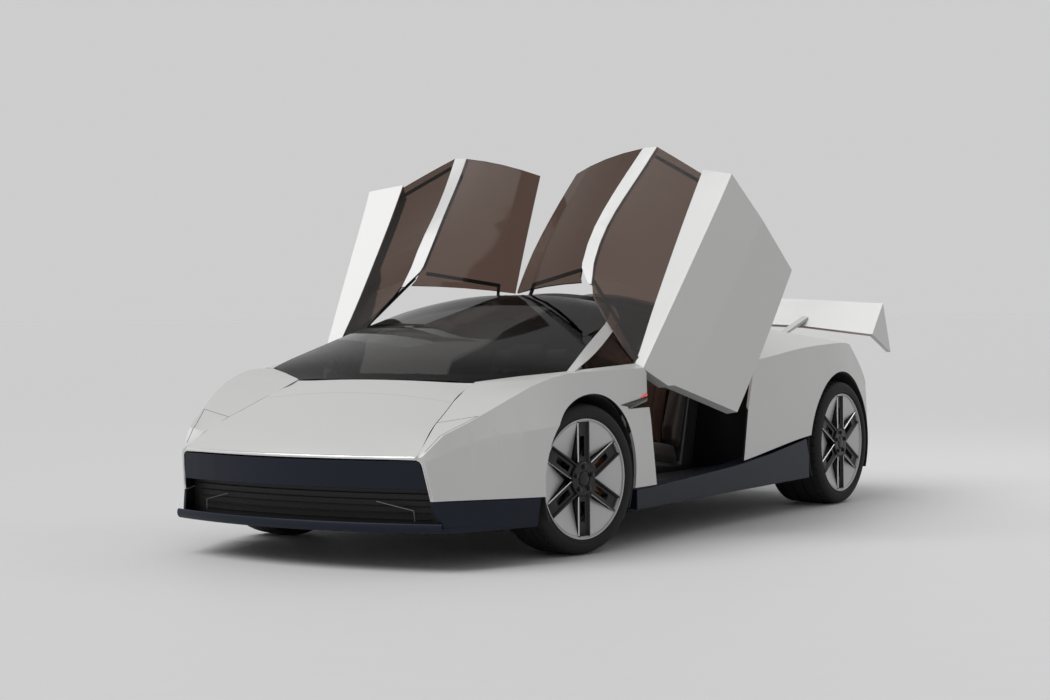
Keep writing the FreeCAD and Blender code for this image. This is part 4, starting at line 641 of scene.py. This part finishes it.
forms = [rounded(side_on(*pads[name][:3]), 0.010, 30) for name in own]
made_pads = dict(zip(own, blown(forms, [pads[name][3] for name in own])))
for name in own:
    sewn(made_pads[name], pads[name][4])
for name in (name for name in pads if name not in own):
    twin = made_pads[name.replace("outer", "inner")].copy()
    twin.transform(Matrix.Translation((0, seat_gap, 0)) @ Matrix.Scale(-1, 4, (0, 1, 0)))
    twin.flip_normals()
    made_pads[name] = twin
for side, shift in (("left", 0.0), ("right", -seat_gap)):
    place = Matrix.Translation((0, shift, 0))
    bucket = rounded(side_on(shell, 0.165, 0.645), 0.016, 25, 3)
    bucket = fitted("seat_bucket_" + side, bucket, "chassis", carbon, place)
    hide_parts("seat_" + side)
    for name, mesh in made_pads.items():
        look = leather_dark if name.endswith(("inner", "outer")) else leather
        pad = fitted("seat_%s_%s" % (name, side), mesh.copy(), "chassis", look, place)


# Dashboard and console: padded leather over moulded cores, with a bronze strip, slatted air
# vents, a driver's display and a switch row. They are screwed to the front bulkhead.
def pressed(node, radius=0.002, crease=12, fold=32):
    """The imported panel, merged, with its edges rolled and its curves shaded smooth."""
    work = bmesh.new()
    work.from_mesh(nodes[node].data)
    bmesh.ops.remove_doubles(work, verts=work.verts, dist=0.00002)
    bmesh.ops.dissolve_limit(work, angle_limit=math.radians(0.35), verts=work.verts, edges=work.edges)
    for face in work.faces:
        face.smooth = True
    mesh = bpy.data.meshes.new(node + "_panel")
    work.to_mesh(mesh)
    work.free()
    mesh.set_sharp_from_angle(angle=math.radians(crease))
    panel = added(node + "_panel", mesh)
    rolled = panel.modifiers.new("rolled_edge", "BEVEL")
    rolled.width = radius
    rolled.segments = 2
    rolled.limit_method = "ANGLE"
    rolled.angle_limit = math.radians(fold)
    rolled.harden_normals = True
    rolled.use_clamp_overlap = True
    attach(panel, nodes[node]["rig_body"])
    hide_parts(node)
    return panel


def swept(path, section, up=(0, 0, 1)):
    """A closed section of outward and upward places carried along a line of points."""
    path = [Vector(place) for place in path]
    points = []
    for index, place in enumerate(path):
        along = (path[min(index + 1, len(path) - 1)] - path[max(index - 1, 0)]).normalized()
        out = along.cross(Vector(up)).normalized()
        rise = out.cross(along).normalized()
        points += [place + out * across + rise * high for across, high in section]
    return tidied(meshed("swept", points, banded(len(path), len(section))))


def round_bar(across, high, edges):
    """The section of a round or oval bar."""
    angles = [2 * math.pi * edge / edges for edge in range(edges)]
    return [(across * math.cos(angle), high * math.sin(angle)) for angle in angles]


def flowing(places, steps=5):
    """A smooth line through places."""
    places = [Vector(place) for place in places]
    line = []
    for index in range(len(places) - 1):
        before, start = places[max(index - 1, 0)], places[index]
        end, after = places[index + 1], places[min(index + 2, len(places) - 1)]
        for step in range(steps):
            share = step / steps
            line.append(0.5 * (2 * start + (end - before) * share
                               + (2 * before - 5 * start + 4 * end - after) * share ** 2
                               + (3 * start - before - 3 * end + after) * share ** 3))
    return line + [places[-1]]


inside = finish("moulded_lining", (0.022, 0.021, 0.021), 0.62, grain=650.0, spread=0.14, bump=0.25, rough_spread=0.06)
strip = finish("bronze_strip", (0.34, 0.17, 0.085), 0.3, 0.9, grain=800.0, spread=0.05, bump=0.03, rough_spread=0.05)
display = finish("display_glass", (0.006, 0.007, 0.009), 0.08, grain=60.0, spread=0.2, rough_spread=0.01)
for name, radius in (("dashboard", 0.014), ("console", 0.012)):
    core = pressed(name, radius, 30, 30)
    core.data.materials.append(leather_dark)
slat = side_on([(0.0, -0.001), (0.014, -0.003), (0.014, -0.001), (0.0, 0.001)], -0.045, 0.045)
slats = repeated("vent_slats", slat, 5, inside, (0.0, 0.0, 0.009), (0.0, 0.0, 0.0))
for index, across in enumerate((-0.700, -0.110, 0.110, 0.700)):
    frame_bar = side_on([(0.0, 0.0), (0.004, 0.0), (0.004, 0.052), (0.0, 0.052)], -0.052, 0.052)
    spot = Matrix.Translation((0.5805, across, 0.648)) @ Matrix.Rotation(math.radians(-38), 4, "Y")
    fitted("air_vent_%d" % index, rounded(frame_bar, 0.0015), "chassis", display, spot)
    fitted("air_slats_%d" % index, slats.copy(), "chassis", None,
           spot @ Matrix.Translation((-0.012, 0, 0.008)))
line = [Vector((0.5885, y / 100, 0.742)) for y in range(-78, 79, 6)]
band = [(-0.003, -0.003), (0.003, -0.0022), (0.003, 0.0022), (-0.003, 0.003)]
fitted("dash_strip", swept(line, band), "chassis", strip)
panel = rounded(side_on([(0.5950, 0.765), (0.6030, 0.765), (0.6200, 0.838), (0.6120, 0.838)], 0.270, 0.530), 0.003)
fitted("driver_display", panel, "chassis", display)
hood_line = flowing([(0.600, 0.255, 0.768), (0.606, 0.262, 0.830), (0.612, 0.300, 0.848), (0.612, 0.400, 0.852),
                     (0.612, 0.500, 0.848), (0.606, 0.538, 0.830), (0.600, 0.545, 0.768)])
cowl = swept(hood_line, round_bar(0.007, 0.014, 10), (1, 0, 0))
fitted("display_cowl", cowl, "chassis", leather_dark)
slope = [(0.500, 0.5025), (0.560, 0.5080), (0.640, 0.6100), (0.634, 0.6180), (0.552, 0.5160)]
fitted("centre_display", rounded(side_on(slope, -0.085, 0.085), 0.003), "chassis", display)
key = rounded(side_on([(0.0, 0.0), (0.016, 0.0), (0.015, 0.006), (0.001, 0.006)], -0.009, 0.009), 0.0012)
keys = repeated("switch_row", key, 7, strip, (0.0, 0.023, 0.0), (0.0, 0.0, 0.0))
fitted("switch_keys", keys, "chassis", None, Matrix.Translation((0.455, -0.069, 0.4955)))
knob = [(0.0, 0.0), (0.0, 0.030), (0.004, 0.032), (0.014, 0.030), (0.018, 0.026), (0.020, 0.020), (0.020, 0.0)]
knob = turned_surface("knob", [(-along, radius) for along, radius in knob], 48)
fitted("selector_knob", knob, "chassis", strip,
       Matrix.Translation((0.360, 0.0, 0.4745)) @ Matrix.Rotation(math.radians(-85), 4, "X"))
rest_pad = side_on([(-0.195, 0.402), (-0.005, 0.422), (-0.010, 0.440), (-0.190, 0.424)], -0.088, 0.088)
pad = fitted("console_pad", rounded(rest_pad, 0.008, 30, 3), "chassis", leather)
carpet = woven("loop_carpet", (0.022, 0.019, 0.018), 0.9, 0.0045, 0.6)
for side, way in sides.items():
    mat = side_on([(0.330, 0.2306), (0.780, 0.2306), (0.780, 0.2370), (0.330, 0.2370)], 0.150 * way, 0.690 * way)
    fitted("floor_mat_" + side, rounded(mat, 0.003), "chassis", carpet)


# Steering wheel: a leather rim on three bronze spokes, with a padded boss and a moulded cover
# over the column. It sits on the end of the column, so all of it stands square to that.
centre, root = Vector((0.437, 0.400, 0.700)), Vector((0.597, 0.400, 0.660))
facing = (centre - root).normalized()
across = Vector((0, 1, 0))
square = Matrix((across, facing * -1, across.cross(facing * -1))).transposed().to_4x4()
stand = Matrix.Translation(centre) @ square
rim_radius, rim_thick = 0.170, 0.0155
rim = [(along, rim_radius + out) for along, out in round_bar(rim_thick, rim_thick, 14)]
wheel = fitted("wheel_rim", turned_surface("wheel_rim", rim, 96), "chassis", leather_dark, stand)
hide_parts("steering_wheel")
boss = [(-0.026, 0.0), (-0.026, 0.030), (-0.022, 0.044), (-0.010, 0.052), (0.012, 0.052), (0.018, 0.040),
        (0.018, 0.0)]
fitted("wheel_boss", turned_surface("wheel_boss", boss, 48), "chassis", leather_dark, stand)
column = [(0.016, 0.0), (0.016, 0.036), (0.060, 0.040), (0.150, 0.046), (0.158, 0.040), (0.158, 0.0)]
fitted("wheel_column", turned_surface("wheel_column", column, 40), "chassis", inside, stand)
arm = [(0.040, -0.020), (0.158, -0.013), (0.158, 0.013), (0.040, 0.020)]
spokes = rounded(side_on(arm, -0.007, 0.006), 0.003)
for label, angle in (("near", 0), ("far", 180), ("low", 90)):
    fitted("wheel_spoke_" + label, spokes.copy(), "chassis", strip,
           stand @ Matrix.Rotation(math.radians(angle), 4, "Y"))


# Body panels: pressed aluminium in satin silver white, over bumpers, sills and a splitter
# moulded in navy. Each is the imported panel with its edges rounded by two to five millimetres.
def lined(panel, look, hidden, closed=None):
    """Gives the faces that look inwards, with the panel shut, a second finish."""
    panel.data.materials.append(look)
    turned = closed.to_3x3() if closed else Matrix.Identity(3)
    for face in panel.data.polygons:
        place = (closed @ face.center) if closed else face.center
        if hidden(turned @ face.normal, place):
            face.material_index = 1


silver = finish("satin_silver_white", (0.59, 0.59, 0.585), 0.42, 0.2, grain=700.0, spread=0.02, bump=0.015,
                rough_spread=0.03, Coat_Weight=0.25, Coat_Roughness=0.2)
door_swing = math.radians(60.9)
for name in ("hood", "fender_left", "fender_right", "pillars", "quarter_left", "quarter_right", "engine_cover",
             "rear_wing", "door_left", "door_right"):
    panel = pressed(name)
    panel.data.materials.append(silver)
    way = sides.get(name.split("_")[-1], 1)
    if name.startswith("door"):
        hinge = Vector((0.442164, way * 0.05, 1.190762))
        turn_back = Matrix.Rotation(-door_swing, 4, Vector((way * 0.3414, 0.8755, -way * 0.3420)))
        closed = Matrix.Translation(hinge) @ turn_back @ Matrix.Translation(-hinge)
        lined(panel, inside, lambda normal, place: normal.y * way < -0.25, closed)
    elif name.startswith(("fender", "quarter")):
        lined(panel, inside, lambda normal, place: normal.y * way < -0.3 or normal.z < -0.5)
    elif name in ("hood", "engine_cover"):
        lined(panel, inside, lambda normal, place: normal.z < -0.3)

navy = finish("satin_navy", (0.007, 0.010, 0.021), 0.4, grain=500.0, spread=0.1, bump=0.02,
              rough_spread=0.04, Specular_IOR_Level=0.22)
for name in ("sills", "front_bumper", "splitter", "rear_bumper"):
    panel = pressed(name, 0.005 if name == "front_bumper" else 0.003)
    panel.data.materials.append(navy)


# Front details: a bright strip under the hood and thin bright bars down the fender fronts, painted highlights of the
# rolled edges, the seams of the two lamp lids, a lip on the splitter, and slim bars and struts in the intake, all
# clipped to what is behind them.
def surface_of(node):
    """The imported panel's surface, to lay lines and pieces on."""
    mesh = nodes[node].data
    corners = [vertex.co for vertex in mesh.vertices]
    return BVHTree.FromPolygons(corners, [tuple(face.vertices) for face in mesh.polygons])


def laid(node, places, way):
    """Places moved along a direction until they meet a panel."""
    surface = surface_of(node)
    met = [surface.ray_cast(Vector(place) - Vector(way), Vector(way))[0] for place in places]
    return [place for place in met if place]


def straight(start, end, steps):
    """Evenly spaced places from one to another."""
    return [Vector(start).lerp(Vector(end), step / steps) for step in range(steps + 1)]


seam = [(-0.0013, -0.0012), (-0.0013, 0.0005), (0.0013, 0.0005), (0.0013, -0.0012)]
seam_dark = finish("seam_gap", (0.05, 0.05, 0.052), 0.7, grain=300.0, spread=0.1, bump=0.1, rough_spread=0.05)
# Pale bright metal for the strip under the hood and the bars on the fenders: a painted highlight where the rolled
# edges catch the light.
painted_highlight = finish("painted_highlight_trim", (0.80, 0.80, 0.795), 0.2, 0.5, grain=500.0, spread=0.02, bump=0.01,
                  rough_spread=0.03)
outside, above = 2.6, 0.9
# A bright strip along the hood's front edge, lighter than the paint: a painted highlight of the rolled edge.
front = laid("hood", [(outside, y / 100, 0.4975) for y in range(-66, 67, 3)], (-1, 0, 0))
highlight_section = [(-0.003, -0.0065), (0.0012, -0.0058), (0.0030, -0.0028), (0.0036, 0.0005), (0.0030, 0.0038), (0.0010, 0.0062),
       (-0.003, 0.0068)]
fitted("hood_painted_highlight", swept(front, highlight_section), "hood", painted_highlight)
for side, way in sides.items():
    fender = "fender_" + side
    for name, places in (("cross", [(1.9855, 0.6095), (1.9446, 0.8000)]),
                         ("outer", [(1.9446, 0.8000), (2.0874, 0.7255), (2.1900, 0.6890)])):
        line = [place for start, end in zip(places, places[1:]) for place in straight(start, end, 14)]
        line = laid(fender, [(x, y * way, above) for x, y in line], (0, 0, -1))
        fitted("lid_seam_" + name + "_" + side, swept(line, seam), "chassis", seam_dark)
    # A thin bright bar down the fender's front edge: a painted highlight of its rounded edge.
    edge = [(2.2205, 0.6668, 0.4895), (2.2140, 0.6862, 0.4740), (2.2040, 0.6975, 0.4200), (2.1945, 0.7055, 0.3650),
            (2.1860, 0.7095, 0.3290)]
    edge = [(x, y * way, z) for x, y, z in flowing(edge)]
    edge = swept(edge, round_bar(0.002, 0.002, 8), (1, 0, 0))
    fitted("fender_painted_highlight_" + side, edge, "chassis", painted_highlight)
line = laid("hood", straight((1.797, -0.585, above), (1.797, 0.585, above), 60), (0, 0, -1))
fine = [(-0.0009, -0.001), (-0.0009, 0.0003), (0.0009, 0.0003), (0.0009, -0.001)]
seam_pale = finish("seam_in_paint", (0.42, 0.42, 0.42), 0.5, 0.2, grain=500.0, spread=0.05, bump=0.05,
                   rough_spread=0.05)
fitted("hood_seam", swept(line, fine), "hood", seam_pale)

nose = [(2.1672, 0.7600), (2.2069, 0.6333), (2.2394, 0.5067), (2.2647, 0.3800), (2.2827, 0.2533), (2.2935, 0.1267),
        (2.2972, 0.0)]
nose = nose + [(x, -y) for x, y in reversed(nose[:-1])]
nose = flowing([(x, y, 0.180) for x, y in reversed(nose)])
curl = [(-0.030, 0.0112), (-0.030, -0.0105), (-0.004, -0.0112), (0.006, -0.0080), (0.0120, 0.0000), (0.0148, 0.0100),
        (0.0150, 0.0200), (0.0125, 0.0285), (0.0080, 0.0325), (0.0040, 0.0325), (0.0015, 0.0290), (-0.0010, 0.0200),
        (-0.0080, 0.0135)]
fitted("splitter_lip", swept(nose, curl), "chassis", navy)
for index, height in enumerate((0.222, 0.250, 0.278, 0.306, 0.334)):
    line = laid("intake_grille", [(outside, y / 100, height) for y in range(-66, 67, 4)], (-1, 0, 0))
    line = [place + Vector((0.004, 0, 0)) for place in line]
    bar = [(-0.004, -0.0022), (0.004, -0.0012), (0.0052, 0.0), (0.004, 0.0012), (-0.004, 0.0022)]
    fitted("intake_bar_%d" % index, swept(line, bar), "chassis", tray_black)
rod = round_bar(0.0022, 0.0022, 8)
for side, way in sides.items():
    for name, start, end in (("long", (2.155, 0.600, 0.262), (2.198, 0.430, 0.300)),
                             ("short", (2.155, 0.600, 0.262), (2.152, 0.603, 0.215))):
        ends = [Vector((x, y * way, z)) for x, y, z in (start, end)]
        strut = swept(straight(*ends, 3), rod, (1, 0.2, 0))
        fitted("intake_strut_" + name + "_" + side, strut, "chassis", forged)


# Fender vents: a gloss black outlet behind each front wheel, with a ledge along its middle and
# a small red marker lens above it. They are clipped into the notch of the fender.
vent_black = finish("vent_gloss_black", (0.006, 0.006, 0.007), 0.22, grain=240.0, spread=0.1, bump=0.02,
                    rough_spread=0.04)
marker_red = finish("marker_lens", (0.60, 0.02, 0.01), 0.12, grain=900.0, spread=0.08, bump=0.05, rough_spread=0.02,
                    Emission_Color=(1.0, 0.05, 0.02, 1), Emission_Strength=0.5, Coat_Weight=0.5)
outlet = [(1.058, 0.6785), (0.960, 0.6915), (0.865, 0.7035), (0.809, 0.7115), (0.8085, 0.6890), (0.9830, 0.6585),
          (0.990, 0.6680)]
ledge = [(1.040, 0.6780), (0.960, 0.6865), (0.865, 0.6975), (0.812, 0.7045), (0.811, 0.7010), (0.960, 0.6830)]
lens = [(0.872, 0.7075), (0.812, 0.7250), (0.8095, 0.7130), (0.866, 0.7055)]
for side, way in sides.items():
    for name, outline, near, far, roll, slot, look in (
            ("vent_outlet_", outlet, 0.985, 1.0008, 0.0006, "black_trim", vent_black),
            ("vent_ledge_", ledge, 0.998, 1.0035, 0.0008, "black_trim", vent_black),
            ("marker_lens_", lens, 0.996, 1.0022, 0.0006, "lamp_red", marker_red)):
        fitted(name + side, rounded(side_on(outline, near * way, far * way), roll), "chassis", look)


# Glass: a near black laminated windscreen, and bronze tinted panes in the doors, roof and
# quarters. All are bonded to their frames.
screen = finish("black_laminated_glass", (0.075, 0.072, 0.070), 0.03, grain=7.0, spread=0.03, rough_spread=0.004,
                Transmission_Weight=1.0, IOR=1.12)
bronze = finish("bronze_glass", (0.128, 0.080, 0.062), 0.06, grain=6.0, spread=0.03, rough_spread=0.005,
                Transmission_Weight=1.0, IOR=1.2)
for name in ("windscreen", "door_window_left", "door_window_right", "roof_glass_left", "roof_glass_right"):
    pane = pressed(name, 0.0008, 14, 40)
    pane.data.materials.append(screen if name == "windscreen" else bronze)
pane_end = 1.24
work = bmesh.new()
work.from_mesh(nodes["quarter_windows"].data)
bmesh.ops.remove_doubles(work, verts=work.verts, dist=0.00002)
cut = bmesh.ops.bisect_plane(work, geom=work.verts[:] + work.edges[:] + work.faces[:], plane_co=(pane_end, 0, 0),
                             plane_no=(1, 0, 0), clear_outer=True)
bmesh.ops.holes_fill(work, edges=[piece for piece in cut["geom_cut"] if isinstance(piece, bmesh.types.BMEdge)])
mesh = bpy.data.meshes.new("quarter_panes")
work.to_mesh(mesh)
work.free()
panes = fitted("quarter_panes", tidied(mesh, 20), "chassis", bronze)
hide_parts("quarter_windows")


# Tail: a full width red lamp with a lit thread between two black frames, a slatted black vent
# over the engine, a bare number plate panel, and two steel pipes above the diffuser.
lens_red = finish("tail_lens", (0.42, 0.010, 0.010), 0.14, grain=900.0, spread=0.1, bump=0.05, rough_spread=0.02,
                  Emission_Color=(1.0, 0.03, 0.02, 1), Emission_Strength=0.25, Coat_Weight=0.5)
core_red = finish("tail_core", (0.75, 0.05, 0.04), 0.2, grain=600.0, spread=0.1, rough_spread=0.02,
                  Emission_Color=(1.0, 0.06, 0.04, 1), Emission_Strength=0.8)
coated(lens_red, "tail_lamp")
core = laid("tail_lamp", [(-outside, y / 100, 0.7235) for y in range(-84, 85, 4)], (1, 0, 0))
thread = [(-0.002, -0.0035), (0.0025, -0.0025), (0.0035, 0.0), (0.0025, 0.0025), (-0.002, 0.0035)]
fitted("tail_core", swept(list(reversed(core)), thread), "chassis", core_red)
frame_bead = [(-0.002, -0.003), (0.003, -0.002), (0.004, 0.0), (0.003, 0.002), (-0.002, 0.003)]
for label, height in (("under", 0.6985), ("over", 0.7475)):
    line = laid("rear_bumper", [(-outside, y / 100, height) for y in range(84, -85, -4)], (1, 0, 0))
    fitted("tail_frame_" + label, swept(line, frame_bead), "chassis", vent_black)

cover = surface_of("engine_cover")


def on_cover(x, y, lift):
    """A place on the engine cover, a little above it."""
    met = cover.ray_cast(Vector((x, y, 2.0)), Vector((0, 0, -1)))
    return met[0] + met[1] * lift


bed_rows, bed_columns = 21, 17
bed_from, bed_step, bed_half, bed_taper, bed_lift = -0.62, 0.046, 0.36, 0.006, 0.0016
rows = [[on_cover(bed_from - bed_step * row, (bed_half - bed_taper * row) * (column / 8 - 1), bed_lift)
         for column in range(bed_columns)] for row in range(bed_rows)]
bed = meshed("bed", [place for row in rows for place in row], netted(bed_rows, bed_columns))
bed = tidied(shaped(bed, "SOLIDIFY", thickness=0.0026, offset=-1))
fitted("vent_bed", bed, "chassis", tray_black)
blade = [(-0.032, 0.0015), (-0.030, 0.0035), (0.020, 0.0150), (0.026, 0.0150), (0.026, 0.0125), (-0.026, 0.0)]
blade_count, blade_from, blade_step, blade_half, blade_taper = 9, -0.70, 0.1, 0.345, 0.013
for index in range(blade_count):
    x, half = blade_from - blade_step * index, blade_half - blade_taper * index
    line = [on_cover(x, half * (column / 8 - 1), 0.002) for column in range(bed_columns)]
    fitted("vent_blade_%d" % index, rounded(swept(line, blade), 0.0008), "chassis", vent_black)
edge = [(0.0, -0.002), (0.004, -0.001), (0.005, 0.003), (0.001, 0.006), (-0.004, 0.003), (-0.003, -0.001)]
rim_line = rows[0] + [row[-1] for row in rows[1:]]
rim_line += list(reversed(rows[-1]))[1:] + [row[0] for row in reversed(rows[:-1])]
fitted("vent_rim", swept(rim_line, edge), "chassis", silver)

plate = laid("rear_bumper", [(-outside, y / 100, 0.555) for y in range(27, -28, -6)], (1, 0, 0))
recess = [(-0.001, -0.062), (0.0022, -0.060), (0.0030, -0.057), (0.0030, 0.057), (0.0022, 0.060), (-0.001, 0.062)]
fitted("plate_panel", swept(plate, recess), "chassis", tray_black)
steel_pipe = finish("brushed_steel", (0.42, 0.41, 0.40), 0.26, 1.0, grain=380.0, spread=0.06, bump=0.05,
                    rough_spread=0.06)
pipe = [(0.0, 0.0405), (0.004, 0.0430), (0.010, 0.0435), (0.075, 0.0435), (0.080, 0.0400), (0.080, 0.0385),
        (0.030, 0.0385), (0.008, 0.0390)]
inner = [(0.030, 0.0), (0.030, 0.0384), (0.070, 0.0384), (0.070, 0.0)]
for side, way in sides.items():
    spot = Matrix.Translation((-2.105, 0.1275 * way, 0.2530)) @ Matrix.Rotation(math.radians(-90), 4, "Z")
    fitted("exhaust_tip_" + side, turned_surface("tip", pipe, 64), "chassis", steel_pipe, spot)
    fitted("exhaust_bore_" + side, turned_surface("bore", inner, 48), "chassis", tray_black, spot)
